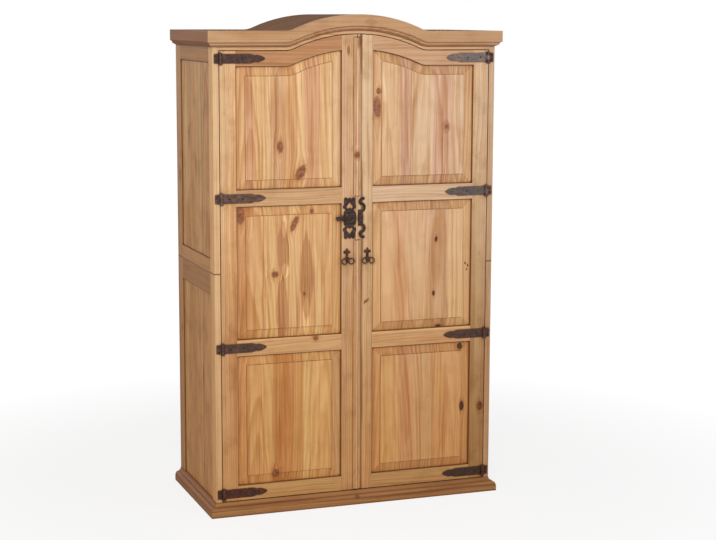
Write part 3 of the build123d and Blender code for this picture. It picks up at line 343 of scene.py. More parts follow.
def bent_grain(t, across, along, flat, seed, knots):
    """Place across the grain, as the grain wanders and makes way for knots, and distances from the
    knots and from the dead ones, which are None where there are none."""
    wander = t.noise(t.combine(t.maths("MULTIPLY", across, 2.5), along, seed * 3.7), 1.5, 3.0)
    bent = t.maths("ADD", across, t.spread(wander, WANDER))
    ripple = t.noise(t.combine(t.maths("MULTIPLY", across, 14.0), along, seed + 31.0), 4.0, 2.0)
    bent = t.maths("ADD", bent, t.spread(ripple, RIPPLE))
    knot_rim = dead_rim = None
    jag = t.noise(t.combine(across, along, float(seed)), 120.0, 2.0)
    for knot in knots:
        rim = t.ellipse(flat, knot.place, knot.radii, knot.angle)
        push = t.smooth(rim, 0.6, 3.4, knot.radii[0] * 0.8, 0.0)
        way = t.smooth(across, knot.place[0] - 0.002, knot.place[0] + 0.002, 1.0, -1.0)
        bent = t.maths("MULTIPLY_ADD", push, way, bent)
        rim = t.maths("ADD", rim, t.spread(jag, KNOT_UNEVENNESS))
        knot_rim = t.gather("MINIMUM", knot_rim, rim)
        if knot.dead:
            dead_rim = t.gather("MINIMUM", dead_rim, rim)
    return bent, knot_rim, dead_rim


def sawn_boards(t, across, bent, boards):
    """Tone, heart, depth and taper, each switched on past its board's starting edge, and glue lines."""
    before = boards[0]
    tone, heart, depth, taper = before.tone, before.heart, before.depth, before.taper
    seam = None
    for board in boards[1:]:
        if board.seam:
            line = t.smooth(t.away(across, board.start), 0.0006, 0.0028, board.seam, 0.0)
            seam = t.gather("MAXIMUM", seam, line)
            tone = t.mix(t.maths("GREATER_THAN", across, board.start), tone, board.tone)
        else:
            change = t.smooth(bent, board.start - TONE_BLEND, board.start + TONE_BLEND)
            tone = t.mix(change, tone, board.tone)
        if board.heart is not None:
            past = t.maths("GREATER_THAN", across, board.start)
            heart = t.maths("MULTIPLY_ADD", past, board.heart - before.heart, heart)
            depth = t.maths("MULTIPLY_ADD", past, board.depth - before.depth, depth)
            taper = t.maths("MULTIPLY_ADD", past, board.taper - before.taper, taper)
            before = board
    return tone, (heart, depth, taper), seam


def growth_rings(t, across, along, deep, bent, sawing, seed, ring):
    """Latewood of the rings around the log's heart: 1 where it is darkest."""
    heart, depth, taper = sawing
    side = t.maths("SUBTRACT", bent, heart)
    sway = t.noise(t.combine(t.maths("MULTIPLY", across, 9.0), along, seed + 41.0), 2.4, 2.0)
    below = t.maths("ADD", t.maths("MULTIPLY_ADD", taper, along, depth), deep)
    below = t.maths("ADD", below, t.spread(sway, HEART_SWAY))
    radius = t.maths("SQRT", t.maths(
        "ADD", t.maths("MULTIPLY", side, side), t.maths("MULTIPLY", below, below)
    ))
    count = t.maths("DIVIDE", radius, ring)
    within = t.maths("FRACT", count)
    ring_shade = t.put("TexWhiteNoise", noise_dimensions="1D")
    t.feed(ring_shade.inputs["W"], t.maths("ADD", t.maths("FLOOR", count), seed * 17.0))
    strength = t.maths("MULTIPLY_ADD", ring_shade.outputs["Value"], 0.8, 0.2)
    latewood = t.maths("MULTIPLY", t.smooth(within, 0.05, 0.72), t.smooth(within, 0.78, 1.0, 1.0, 0.0))
    return t.maths("MULTIPLY", latewood, strength)


def knotted(t, colour, flat, knot_rim, dead_rim):
    """Colour with its knots: a brown halo, a blotched heart with fine rings, a darker rim."""
    if knot_rim is not None:
        core = t.smooth(knot_rim, 1.24, 0.70, 0.0, 0.94)
        halo = t.smooth(knot_rim, 2.4, 1.05, 0.0, 0.55)
        blotch = t.noise(flat, 75.0, 3.0, 0.6)
        dark_rim = t.maths("MULTIPLY", t.smooth(knot_rim, 0.62, 0.98), t.smooth(blotch, 0.40, 0.60))
        heartwood = t.mix(t.smooth(blotch, 0.38, 0.62), KNOT_DARK, KNOT_LIGHT)
        heartwood = t.mix(t.maths("MULTIPLY", dark_rim, 0.7), heartwood, KNOT_RIM)
        lines = t.smooth(t.maths("PINGPONG", knot_rim, 0.14), 0.02, 0.12, 0.80, 1.0)
        heartwood = t.mix(1.0, heartwood, lines, "MULTIPLY")
        colour = t.tint(halo, colour, HALO)
        colour = t.mix(core, colour, heartwood)
    if dead_rim is not None:
        colour = t.mix(t.smooth(dead_rim, 1.10, 0.72, 0.0, 0.95), colour, DEAD_KNOT)
    return colour


def waxed_and_worn(t, colour, wax):
    """Colour with painted shade and old wax in the corners, creases and hollows, pale wear on the edges, and
    the softened normal.
    """
    # Painted shade: occlusion darkens corners, hollows and creases as shade would, together with old wax.
    corner = t.occlusion(CORNER_REACH)
    colour = t.mix(t.smooth(corner, 0.86, 0.50, 0.0, wax), colour, CORNER_SHADE_AND_WAX)
    hollow = t.occlusion(HOLLOW_REACH, 6)
    colour = t.tint(t.smooth(hollow, 0.96, 0.62, 0.0, wax * 0.45), colour, HOLLOW_SHADE_AND_WAX)
    crease = t.occlusion(CREASE_REACH)
    colour = t.mix(t.smooth(crease, 0.90, 0.66, 0.0, wax * 0.75), colour, CREASE_SHADE_AND_WAX)
    soft, agree = t.softened(WOOD_EDGE_RADIUS)
    pale_edge = t.smooth(agree, 0.985, 0.80, 0.0, 0.35)
    pale_edge = t.maths("MULTIPLY", pale_edge, t.smooth(corner, 0.75, 0.95))
    return t.tint(pale_edge, colour, WORN_EDGE), soft


def deepened(tint, times):
    """Tint that departs from white the given number of times as far."""
    return [1 + times * (c - 1) for c in tint[:3]] + [1.0]


def pine(name, axes, boards, seed, knots=(), patches=(), joints=(), ring=0.008, figure=0.55,
         bands=0.75, lines=1.65, threads=0.5, ends=1.0, wax=0.9, shine=0.32, stained=1.0,
         top=WARM_TOP_LIGHT, foot=LOW_SHADE, side_light=None, end_tint=None):
    """Waxed pine.

    axes        the axes across the grain, along it and into the board, if that counts
    joints      places along the grain where one piece meets the next
    ring        width of a growth ring in metres; figure is how strongly the rings show
    bands       strength of the broad stripes; lines and threads are for the finer ones
    ends        strength of the short grain on bevels and ends
    top, foot   tints at the top and at the foot of the cabinet: painted light up high and painted shade towards the floor
    side_light   painted light on faces that look sideways; end_tint is the painted shade on bevels and ends
    """
    t = Tree(name)
    parts = t.put("SeparateXYZ")
    t.feed(parts.inputs[0], t.put("TexCoord").outputs["Object"])
    across, along, *into = (parts.outputs["XYZ".index(a)] for a in axes)
    deep = into[0] if into else 0.0
    flat = t.combine(across, along, 0.0)
    bent, knot_rim, dead_rim = bent_grain(t, across, along, flat, seed, knots)
    through = t.maths("MULTIPLY_ADD", deep, 0.8, bent)

    def stripes(fineness, stretch, number, detail):
        fine = t.maths("MULTIPLY", through, fineness)
        return t.noise(t.combine(fine, t.maths("MULTIPLY", along, stretch), seed + number), 1.0, detail)

    tone, sawing, seam = sawn_boards(t, across, bent, boards)
    latewood = growth_rings(t, across, along, deep, bent, sawing, seed, ring)

    # Broad, middling and narrow stripes of colour, and fine fibres.
    broad = stripes(*BROAD)
    middling = stripes(*MIDDLING)
    narrow = stripes(*NARROW)
    fibres = stripes(*FIBRES)
    flecks = stripes(*FLECKS)
    mixed = t.maths("MULTIPLY_ADD", broad, bands, t.maths("MULTIPLY", middling, MIDDLING_SHARE))
    mixed = t.maths("MULTIPLY_ADD", narrow, lines, mixed)
    level = STREAK_CONTRAST / 2 * (bands + MIDDLING_SHARE + lines)
    streak = t.maths("MULTIPLY_ADD", mixed, STREAK_CONTRAST, -level)

    # Bevels and ends cut the grain short: there the stripes are closer and stronger.
    facing = t.put("SeparateXYZ")
    t.feed(facing.inputs[0], t.put("NewGeometry").outputs["Normal"])
    cut = t.smooth(t.maths("ABSOLUTE", facing.outputs["XYZ".index(axes[1])]), 0.03, 0.10)
    short = t.maths("MULTIPLY_ADD", stripes(*SHORT_GRAIN), SHORT_CONTRAST * ends, -SHORT_LEVEL * ends)
    streak = t.maths("ADD", streak, t.maths("MULTIPLY", cut, short))

    colour = tone
    # Painted light and shade by facing: sideways faces get their own tint, and bevels and ends a darker one.
    if side_light:
        turned = t.smooth(t.maths("ABSOLUTE", facing.outputs["X"]), 0.5, 0.9)
        colour = t.tint(turned, colour, side_light)
    if end_tint:
        colour = t.tint(cut, colour, end_tint)
    for patch in patches:
        u = t.maths("MULTIPLY_ADD", bent, 1 / patch.half_width, -patch.across / patch.half_width)
        v = t.maths("MULTIPLY_ADD", along, 1 / patch.half_height, -patch.along / patch.half_height)
        rim = t.maths("ADD", t.maths("ABSOLUTE", u), t.maths("MULTIPLY", v, v))
        rim = t.maths("ADD", rim, t.spread(narrow, 0.8))
        rim = t.maths("ADD", rim, t.spread(fibres, 0.4))
        inside = t.smooth(rim, *(CRISP_EDGE if patch.crisp else SOFT_EDGE))
        colour = t.tint(inside, colour, patch.tone)

    hue = stripes(*HUES)
    colour = t.tint(t.smooth(hue, 0.52, 0.72, 0.0, 0.55), colour, PINKER)
    colour = t.tint(t.smooth(hue, 0.48, 0.30, 0.0, 0.60), colour, YELLOWER)
    colour = t.tint(t.smooth(streak, 0.0, 0.75), colour, LIGHT_STREAK)
    colour = t.tint(t.smooth(streak, 0.0, -0.75, 0.0, 1.35), colour, DARK_STREAK)
    colour = t.tint(t.smooth(narrow, 0.57, 0.72, 0.0, 0.9), colour, LATEWOOD)
    thread = stripes(*THREADS)
    colour = t.tint(t.smooth(thread, 0.55, 0.64, 0.0, threads), colour, THREAD)
    colour = t.tint(t.smooth(thread, 0.45, 0.36, 0.0, threads), colour, LIGHT_STREAK)
    colour = t.tint(t.maths("MULTIPLY", latewood, figure), colour, RING)
    colour = t.mix(1.0, colour, t.maths("MULTIPLY_ADD", fibres, 0.22, 0.89), "MULTIPLY")
    colour = t.mix(t.smooth(flecks, 0.66, 0.8, 0.0, 0.2), colour, FLECK)

    # Old stain has sunk in unevenly.
    cloud = t.noise(t.combine(t.maths("MULTIPLY", across, 1.6), along, seed + 51.0), 9.0, 4.0, 0.6)
    colour = t.tint(t.smooth(cloud, 0.48, 0.68, 0.0, 0.8), colour, deepened(STAIN, stained))
    colour = t.tint(t.smooth(cloud, 0.48, 0.32, 0.0, 0.8), colour, deepened(RUBBED, stained))

    colour = knotted(t, colour, flat, knot_rim, dead_rim)
    for joint in joints:
        line = t.smooth(t.away(along, joint), 0.0014, 0.0042, 0.9, 0.0)
        seam = t.gather("MAXIMUM", seam, line)
    if seam is not None:
        colour = t.mix(seam, colour, GLUE_LINE)

    # Painted light and shade by height: the top tint up high, a little darker towards the floor.
    height = t.smooth(parts.outputs["Z"], 1.6, 0.1)
    colour = t.mix(1.0, colour, t.mix(height, top, foot), "MULTIPLY")
    colour, soft = waxed_and_worn(t, colour, wax)

    t.shader.inputs["Specular IOR Level"].default_value = shine
    roughness = t.maths("MULTIPLY_ADD", narrow, 0.24, 0.36)
    relief = t.maths("MULTIPLY_ADD", latewood, 0.6, t.maths("MULTIPLY", fibres, 0.6))
    return t.surface(colour, roughness, relief, soft, 0.35, WOOD_RELIEF)


def iron(name, colour, rust_colour, rust_share=0.75, shine=0.42, tints=()):
    """Forged iron under dark wax. tints gives the height above which each of its tints holds."""
    t = Tree(name)
    place = t.put("TexCoord").outputs["Object"]
    dents = t.noise(place, 95.0, 3.0, 0.55)
    grit = t.noise(place, 900.0, 2.0)
    rust = t.noise(place, 42.0, 4.0, 0.65)
    soft, agree = t.softened(IRON_EDGE_RADIUS)
    pale_edge = t.smooth(agree, 0.98, 0.80, 0.0, 0.5)
    tone = t.mix(t.smooth(rust, 0.44, 0.62, 0.0, rust_share), colour, rust_colour)
    # Painted highlight on the raised dents.
    tone = t.mix(t.smooth(dents, 0.5, 0.72, 0.0, 0.45), tone, DENT_HIGHLIGHT)
    tone = t.mix(t.smooth(dents, 0.48, 0.30, 0.0, 0.45), tone, DENT_DARK)
    # Pale wear on the edges, partly a painted highlight.
    tone = t.mix(pale_edge, tone, WORN_IRON_AND_HIGHLIGHT)
    if tints:
        height = t.put("SeparateXYZ")
        t.feed(height.inputs[0], place)
        tint = tints[0][1]
        for start, following in tints[1:]:
            tint = t.mix(t.maths("GREATER_THAN", height.outputs["Z"], start), tint, following)
        tone = t.mix(1.0, tone, tint, "MULTIPLY")
    t.shader.inputs["Metallic"].default_value = 0.45
    roughness = t.maths("MULTIPLY_ADD", dents, 0.3, shine - 0.1)
    relief = t.maths("MULTIPLY_ADD", grit, 0.25, dents)
    return t.surface(tone, roughness, relief, soft, 0.6, IRON_RELIEF)


# Axes across the grain, along it and into the board.
FRONT_UP = "XZY"        # front boards with upright grain
FRONT_LEVEL = "ZXY"
SIDE_UP = "YZX"
SIDE_LEVEL = "ZYX"
SHELF = "YXZ"
ROOF = "YX"             # its boards are bent, so the grain follows them
FIRST = -9              # start of the first board, past every piece


def dress(node, material):
    """Gives a node of the frame its material."""
    mesh = nodes[node].data
    mesh.materials.clear()
    mesh.materials.append(material)


def dress_in_pine(node, *grain, **look):
    """Gives a wooden node a pine of its own."""
    dress(node, pine(node + "_wood", *grain, **look))


# Door panels.
panel_boards = {
    "left_door_top_panel": [
        Board(FIRST, HONEY, -0.45, 0.30, -0.05), Board(-0.463, ROSE), Board(-0.424, STRAW),
        Board(-0.358, TAN, -0.29, 0.34, 0.02, seam=0.35), Board(-0.300, HONEY), Board(-0.250, STRAW),
        Board(-0.222, ROSE), Board(-0.157, STRAW, -0.08, 0.40, -0.03), Board(-0.095, PALE),
    ],
    "left_door_middle_panel": [
        Board(FIRST, AMBER, -0.46, 0.36, 0.05), Board(-0.452, HONEY), Board(-0.390, STRAW),
        Board(-0.342, HONEY), Board(-0.287, STRAW), Board(-0.240, HONEY, -0.15, 0.38, -0.03),
        Board(-0.178, STRAW), Board(-0.135, HONEY),
    ],
    "left_door_bottom_panel": [
        Board(FIRST, AMBER, -0.42, 0.34, 0.05), Board(-0.447, HONEY),
        Board(-0.352, linear(206, 148, 94), -0.30, 0.315, -0.09), Board(-0.282, linear(214, 162, 108)),
        Board(-0.227, STRAW, -0.14, 0.37, 0.04), Board(-0.165, HONEY), Board(-0.105, TAN),
    ],
    "right_door_top_panel": [
        Board(FIRST, HONEY, 0.12, 0.36, 0.03), Board(0.100, linear(218, 174, 124)),
        Board(0.186, linear(214, 169, 134)), Board(0.230, TAN, 0.30, 0.35, 0.04, seam=0.45),
        Board(0.257, linear(220, 180, 134)), Board(0.328, linear(216, 170, 133)),
        Board(0.407, linear(221, 181, 138), 0.45, 0.36, -0.03), Board(0.465, HONEY),
    ],
    "right_door_middle_panel": [
        Board(FIRST, HONEY, 0.12, 0.37, 0.04), Board(0.118, linear(224, 180, 130)),
        Board(0.142, linear(222, 172, 126)), Board(0.216, linear(220, 176, 130), 0.27, 0.36, -0.03),
        Board(0.317, linear(212, 168, 124), 0.36, 0.36, 0.02), Board(0.402, linear(226, 184, 134)),
        Board(0.469, HONEY),
    ],
    "right_door_bottom_panel": [
        Board(FIRST, AMBER, 0.14, 0.36, 0.05), Board(0.106, HONEY), Board(0.186, ROSE), Board(0.257, TAN),
        Board(0.334, linear(218, 166, 118), 0.40, 0.36, 0.03, seam=0.25), Board(0.436, HONEY),
        Board(0.462, AMBER),
    ],
}
panel_knots = {
    "left_door_top_panel": [Knot(-0.321, 1.469, 0.013, 0.024), Knot(-0.237, 1.366, 0.018, 0.034, -32)],
    "left_door_middle_panel": [
        Knot(-0.484, 1.206, 0.018, 0.034), Knot(-0.263, 1.165, 0.012, 0.034, -25),
        Knot(-0.190, 1.211, 0.008, 0.009), Knot(-0.344, 0.965, 0.014, 0.013),
        Knot(-0.223, 0.882, 0.004, 0.007),
    ],
    "left_door_bottom_panel": [Knot(-0.344, 0.156, 0.015, 0.017)],
    "right_door_top_panel": [
        Knot(0.091, 1.682, 0.010, 0.013), Knot(0.086, 1.618, 0.015, 0.044, 3),
        Knot(0.385, 1.535, 0.007, 0.008),
    ],
    "right_door_middle_panel": [
        Knot(0.344, 1.078, 0.006, 0.012, -8, True), Knot(0.335, 0.855, 0.006, 0.011, 0, True),
        Knot(0.476, 0.972, 0.003, 0.005, 30, True), Knot(0.488, 0.962, 0.003, 0.005, 0, True),
        Knot(0.483, 0.946, 0.003, 0.004, 0, True), Knot(0.358, 0.717, 0.013, 0.006, 0, True),
    ],
    "right_door_bottom_panel": [
        Knot(0.456, 0.625, 0.012, 0.015, 0, True), Knot(0.467, 0.371, 0.011, 0.022, 0, True),
    ],
}
panel_patches = {
    "left_door_middle_panel": [
        Patch(-0.314, 1.06, 0.027, 0.13, FLAME, True), Patch(-0.318, 0.82, 0.028, 0.15, FLAME, True),
        Patch(-0.214, 0.95, 0.032, 0.19, FLAME, True), Patch(-0.250, 0.80, 0.008, 0.10, FLAME),
        Patch(-0.214, 0.785, 0.018, 0.09, CLEAR, True), Patch(-0.306, 0.978, 0.020, 0.032, CLEAR, True),
        Patch(-0.308, 1.155, 0.013, 0.050, CLEAR, True), Patch(-0.455, 1.15, 0.014, 0.06, GLINT, True),
    ],
    "left_door_bottom_panel": [
        Patch(-0.300, 0.42, 0.034, 0.22, SHADE), Patch(-0.330, 0.30, 0.010, 0.12, SHADE),
        Patch(-0.296, 0.30, 0.014, 0.12, GLINT), Patch(-0.150, 0.45, 0.026, 0.20, GLINT),
    ],
    "left_door_top_panel": [
        Patch(-0.330, 1.60, 0.030, 0.16, SHADE), Patch(-0.190, 1.50, 0.012, 0.20, SHADE),
    ],
    "right_door_top_panel": [
        Patch(0.212, 1.58, 0.022, 0.22, SHADE), Patch(0.360, 1.55, 0.018, 0.2, SHADE),
        Patch(0.112, 1.60, 0.016, 0.17, GLINT, True), Patch(0.385, 1.535, 0.022, 0.034, MAUVE),
    ],
    "right_door_middle_panel": [
        Patch(0.350, 1.02, 0.030, 0.16, SHADE), Patch(0.190, 0.90, 0.034, 0.22, SHADE),
    ],
    "right_door_bottom_panel": [
        Patch(0.220, 0.40, 0.024, 0.2, SHADE), Patch(0.385, 0.36, 0.026, 0.2, SHADE),
    ],
}
# Strength of the broad and of the narrow stripes.
panel_stripes = {
    "left_door_top_panel": (0.7, 3.0),
    "left_door_middle_panel": (0.8, 3.6),
    "left_door_bottom_panel": (0.6, 1.6),
    "right_door_top_panel": (0.3, 2.2),
    "right_door_middle_panel": (0.4, 1.4),
    "right_door_bottom_panel": (0.7, 1.4),
}
for number, (node, boards) in enumerate(panel_boards.items()):
    bands, lines = panel_stripes[node]
    top_light, bevel_shade = (COOL_TOP_LIGHT, RIGHT_BEVEL_SHADE) if node.startswith("right") else (WARM_TOP_LIGHT, LEFT_BEVEL_SHADE)
    dress_in_pine(
        node, FRONT_UP, boards, 11 + number, panel_knots[node], panel_patches[node],
        ring=0.011, figure=0.7, bands=bands, lines=lines, top=top_light, end_tint=bevel_shade,
    )

# Door frames: upright stiles and level rails.
stile_knots = {
    "left_meeting_strips": [Knot(-0.004, 1.430, 0.010, 0.014)],
    "right_meeting_strips": [Knot(0.000, 1.432, 0.008, 0.012)],
    "right_door_lock_stile": [Knot(0.040, 0.838, 0.005, 0.013, -50)],
    "right_door_hinge_stile": [
        Knot(0.549, 0.366, 0.014, 0.020), Knot(0.551, 0.371, 0.004, 0.009, 0, True),
    ],
}
stile_patches = {
    "left_door_lock_stile": [
        Patch(-0.037, 1.843, 0.006, 0.022, SMUDGE_AND_SHADOW, True), Patch(-0.030, 1.87, 0.030, 0.05, SHADE),
    ],
    "left_door_hinge_stile": [
        Patch(-0.530, 1.08, 0.034, 0.32, (1.10, 1.12, 1.12, 1.0)), Patch(-0.505, 1.62, 0.008, 0.05, GLINT),
    ],
    # Painted shadow at the top of the right meeting strip and on the stile beside it.
    "right_meeting_strips": [
        Patch(0.014, 1.85, 0.010, 0.11, SMUDGE_AND_SHADOW), Patch(0.006, 1.90, 0.016, 0.05, SMUDGE_AND_SHADOW),
    ],
    "right_door_lock_stile": [
        Patch(0.016, 1.85, 0.008, 0.10, SMUDGE_AND_SHADOW), Patch(0.050, 1.45, 0.008, 0.14, SHADE),
    ],
}
# Tones of each stile's two halves, and its tint at the foot, which paints shade towards the floor.
stile_tones = {
    "left_door_hinge_stile": (linear(224, 185, 143), linear(226, 183, 137), (0.765, 0.61, 0.43, 1.0)),
    "left_door_lock_stile": (linear(218, 179, 145), linear(222, 185, 147), (0.81, 0.67, 0.43, 1.0)),
    "right_door_lock_stile": (linear(230, 198, 163), linear(223, 190, 154), (0.77, 0.57, 0.36, 1.0)),
    "right_door_hinge_stile": (linear(221, 187, 151), linear(217, 181, 147), (0.56, 0.42, 0.225, 1.0)),
    "left_meeting_strips": (linear(214, 168, 130), linear(222, 182, 138), LOW_SHADE),
    "right_meeting_strips": (linear(216, 176, 138), linear(196, 150, 112), LOW_SHADE),
}
strip_edge = high("right_meeting_strips").x
for number, (node, (first, second, foot)) in enumerate(stile_tones.items()):
    middle = (low(node).x + high(node).x) / 2
    boards = [Board(FIRST, first, middle + 0.10, 0.33, 0.01), Board(middle + 0.004, second)]
    if node == "right_door_lock_stile":
        # Painted shadow that the meeting strip casts on the stile beside it.
        boards.insert(1, Board(strip_edge - 0.003, linear(140, 94, 56)))
        boards.insert(2, Board(strip_edge + 0.006, first))
    dress_in_pine(
        node, FRONT_UP, boards, 31 + number, stile_knots.get(node, ()),
        stile_patches.get(node, ()), ring=0.007, figure=0.6, bands=2.0, lines=1.2, threads=0.3,
        top=NEARLY_PLAIN, foot=foot, stained=2.0,
    )

rail_knots = {"left_door_rails": [Knot(0.699, -0.175, 0.010, 0.011)]}
rail_tones = {
    "left_door_rails": (linear(204, 163, 115), TAN, linear(208, 166, 122)),
    "right_door_rails": (linear(198, 156, 112), TAN, linear(220, 184, 150)),
}
for number, (node, (bottom_tone, middle_tone, upper_tone)) in enumerate(rail_tones.items()):
    boards = [
        Board(FIRST, bottom_tone, 0.03, 0.33, 0.03),
        Board(0.3, middle_tone, 0.64, 0.34, -0.03),
        Board(0.70, STRAW),
        Board(0.715, middle_tone),
        Board(0.9, upper_tone, 1.22, 0.33, 0.02),
    ]
    dress_in_pine(
        node, FRONT_LEVEL, boards, 41 + number, rail_knots.get(node, ()), figure=0.5,
    )
top_tones = {
    "left_door_top_rail": linear(186, 136, 92), "right_door_top_rail": linear(204, 162, 124),
    "head_board": TAN, "front_rail": TAN,
}
for number, (node, tone) in enumerate(top_tones.items()):
    boards = [Board(FIRST, tone, high(node).z + 0.02, 0.34, 0.02)]
    dress_in_pine(node, FRONT_LEVEL, boards, 51 + number, figure=0.45)

# Mouldings.
front_mouldings = {
    "cornice_front": {
        "boards": [Board(FIRST, BROWN)],
        "patches": [
            Patch(1.952, 0.046, 0.016, 0.030, SHADE), Patch(1.93, 0.05, 0.012, 0.018, SHADE),
            Patch(1.93, -0.42, 0.05, 0.20, SHADE),
        ],
        "wax": 0.7, "bands": 1.2, "lines": 1.0, "threads": 0.2, "foot": (0.80, 0.72, 0.60, 1.0),
    },
    "plinth_front": {
        "boards": [
            Board(FIRST, linear(200, 158, 108)), Board(0.021, linear(170, 124, 80)),
            Board(0.036, linear(190, 146, 98)),
        ],
        "patches": [
            Patch(0.033, -0.004, 0.007, 0.012, SMUDGE_AND_SHADOW, True), Patch(0.030, 0.30, 0.006, 0.25, SHADE),
            Patch(0.030, -0.35, 0.006, 0.22, SHADE),
        ],
        "wax": 1.1, "bands": 1.6, "lines": 2.2, "threads": 0.5, "foot": (0.75, 0.62, 0.50, 1.0),
    },
}
HEART_BELOW = 0.05      # metres from a moulding's underside down to its log's heart
for number, (node, look) in enumerate(front_mouldings.items()):
    look["boards"][0].heart = low(node).z - HEART_BELOW
    dress_in_pine(node, FRONT_LEVEL, seed=61 + number, ring=0.007, figure=0.6, **look)
# The cornice ends are a dark russet, which paints the shade on the cornice's sides.
side_mouldings = {
    "left_cornice": SHADED_RUSSET, "right_cornice": SHADED_RUSSET,
    "left_plinth": PLINTH_SIDE, "right_plinth": PLINTH_SIDE,
}
for number, (node, tone) in enumerate(side_mouldings.items()):
    boards = [Board(FIRST, tone, low(node).z - HEART_BELOW, 0.66, 0.02)]
    dress_in_pine(
        node, SIDE_LEVEL, boards, 65 + number, ring=0.007, figure=0.5, wax=0.5,
        top=SIDE_TOP, foot=PLINTH_FOOT,
    )

# Side frames. The right side has no knots and hardly a streak.
LOWER_TOP_RAIL = 0.0885         # from a side panel's top edge to the top of its case
UPPER_TOP_RAIL = 0.1095
FRONT_STILE = 0.0615            # from the doors' face to a side panel's front edge
SIDE_KNOTS = {
    "left": [
        Knot(0.256, 1.323, 0.010, 0.024), Knot(0.250, 1.411, 0.005, 0.014), Knot(0.251, 0.676, 0.006, 0.016),
    ],
    "right": [],
}
SIDE_STREAKS = {
    "left": [
        Patch(0.116, 1.49, 0.010, 0.06, SMUDGE_AND_SHADOW, True), Patch(0.012, 1.38, 0.007, 0.06, SMUDGE_AND_SHADOW, True),
        Patch(-0.076, 0.53, 0.010, 0.06, SMUDGE_AND_SHADOW, True), Patch(0.060, 1.20, 0.022, 0.20, SHADE),
        Patch(-0.02, 0.45, 0.03, 0.25, SHADE),
    ],
    "right": [Patch(0.03, 0.45, 0.03, 0.25, SHADE)],
}
POST_TONE = {"left": PALE, "right": linear(208, 168, 132)}
# POST_TOP paints light at the top of the posts, brighter and cooler on the right.
POST_TOP = {"left": (0.955, 0.98, 1.01, 1.0), "right": (1.04, 1.09, 1.18, 1.0)}
case_joint = low("left_upper_stiles").z
panel_tops = {
    "lower": case_joint - LOWER_TOP_RAIL, "upper": high("left_upper_stiles").z - UPPER_TOP_RAIL,
}
side_panel = [
    Board(FIRST, HONEY, -0.16, 0.68, 0.04), Board(front_y + FRONT_STILE, HONEY, seam=0.6),
    Board(-0.130, TAN), Board(-0.075, STRAW, -0.02, 0.66, -0.03, seam=0.4), Board(0.020, HONEY),
    Board(0.085, HONEY, 0.15, 0.69, 0.03, seam=0.3), Board(0.150, STRAW),
]
side_rails = [
    Board(FIRST, TAN, 0.03, 0.65, 0.02), Board(0.5, linear(187, 139, 95), 0.95, 0.65, 0.02),
    Board(case_joint, linear(212, 164, 118), 1.08, 0.66, -0.02, seam=0.8),
    Board(1.4, linear(188, 138, 80), 1.85, 0.65, 0.02),
]
for number, side in enumerate(("left", "right")):
    side_stiles = [Board(FIRST, POST_TONE[side], -0.22, 0.65, 0.01), Board(0.0, BROWN, 0.30, 0.66, 0.01)]
    for step, case in enumerate(("lower", "upper")):
        seed = 71 + 7 * number + 3 * step
        dress(f"{side}_{case}_stiles", pine(
            f"{side}_{case}_stile_wood", SIDE_UP, side_stiles, seed, SIDE_KNOTS[side],
            joints=(case_joint,), ring=0.006, figure=0.5, bands=1.6, lines=1.8, threads=0.3,
            top=POST_TOP[side], foot=POST_FOOT, side_light=POST_SIDE_LIGHT,
        ))
        dress_in_pine(
            f"{side}_{case}_panel", SIDE_UP, side_panel, seed + 1, patches=SIDE_STREAKS[side],
            joints=(panel_tops[case],), ring=0.011, figure=0.8, bands=1.2, lines=3.2,
            top=SIDE_TOP, foot=SIDE_FOOT, stained=2.2,
        )
        dress(f"{side}_{case}_rails", pine(
            f"{side}_{case}_rail_wood", SIDE_LEVEL, side_rails, seed + 2, ring=0.007, figure=0.5,
            top=SIDE_TOP, foot=SIDE_FOOT,
        ))

# Back and inside.
BACK_TONGUES = 0.016        # both tongues of a back, which lie in their grooves
back_tones = (STRAW, HONEY, TAN, STRAW, HONEY, STRAW, TAN, HONEY, STRAW)
half_count = len(back_tones) / 2
plank_width = (high("lower_back").x - low("lower_back").x - BACK_TONGUES) / len(back_tones)
planks = []
for k, tone in enumerate(back_tones):
    edge = (k - half_count) * plank_width
    heart = edge + random.uniform(0.02, 0.1)
    depth = -0.26 + random.uniform(-0.03, 0.03)
    taper = random.uniform(-0.05, 0.05)
    planks.append(Board(edge if k else FIRST, tone, heart, depth, taper, seam=0.5 if k else 0.0))
for number, node in enumerate(("lower_back", "upper_back")):
    dress_in_pine(node, FRONT_UP, planks, 91 + number, ring=0.009, figure=0.6)
for number, node in enumerate(("back_rails", "back_upper_rail", "back_head_rail")):
    boards = [Board(FIRST, HONEY, low(node).z, -0.25, 0.02)]
    dress_in_pine(node, FRONT_LEVEL, boards, 95 + number)
shelf_boards = [
    Board(FIRST, HONEY, -0.20, 0.9, 0.03), Board(-0.10, STRAW, -0.02, 0.9, -0.04, seam=0.4),
    Board(0.08, TAN, 0.18, 0.9, 0.03, seam=0.4),
]
for number, node in enumerate(("lower_boards", "upper_bottom_board", "shelves", "cleats")):
    dress_in_pine(node, SHELF, shelf_boards, 101 + number, figure=0.45)
roof_boards = [
    Board(FIRST, DUST, -0.20, 0.9, 0.03), Board(-0.10, DUST, -0.02, 0.9, -0.04, seam=0.4),
]
dress_in_pine("roof", ROOF, roof_boards, 107, figure=0.45, shine=0.0, ends=0.0)

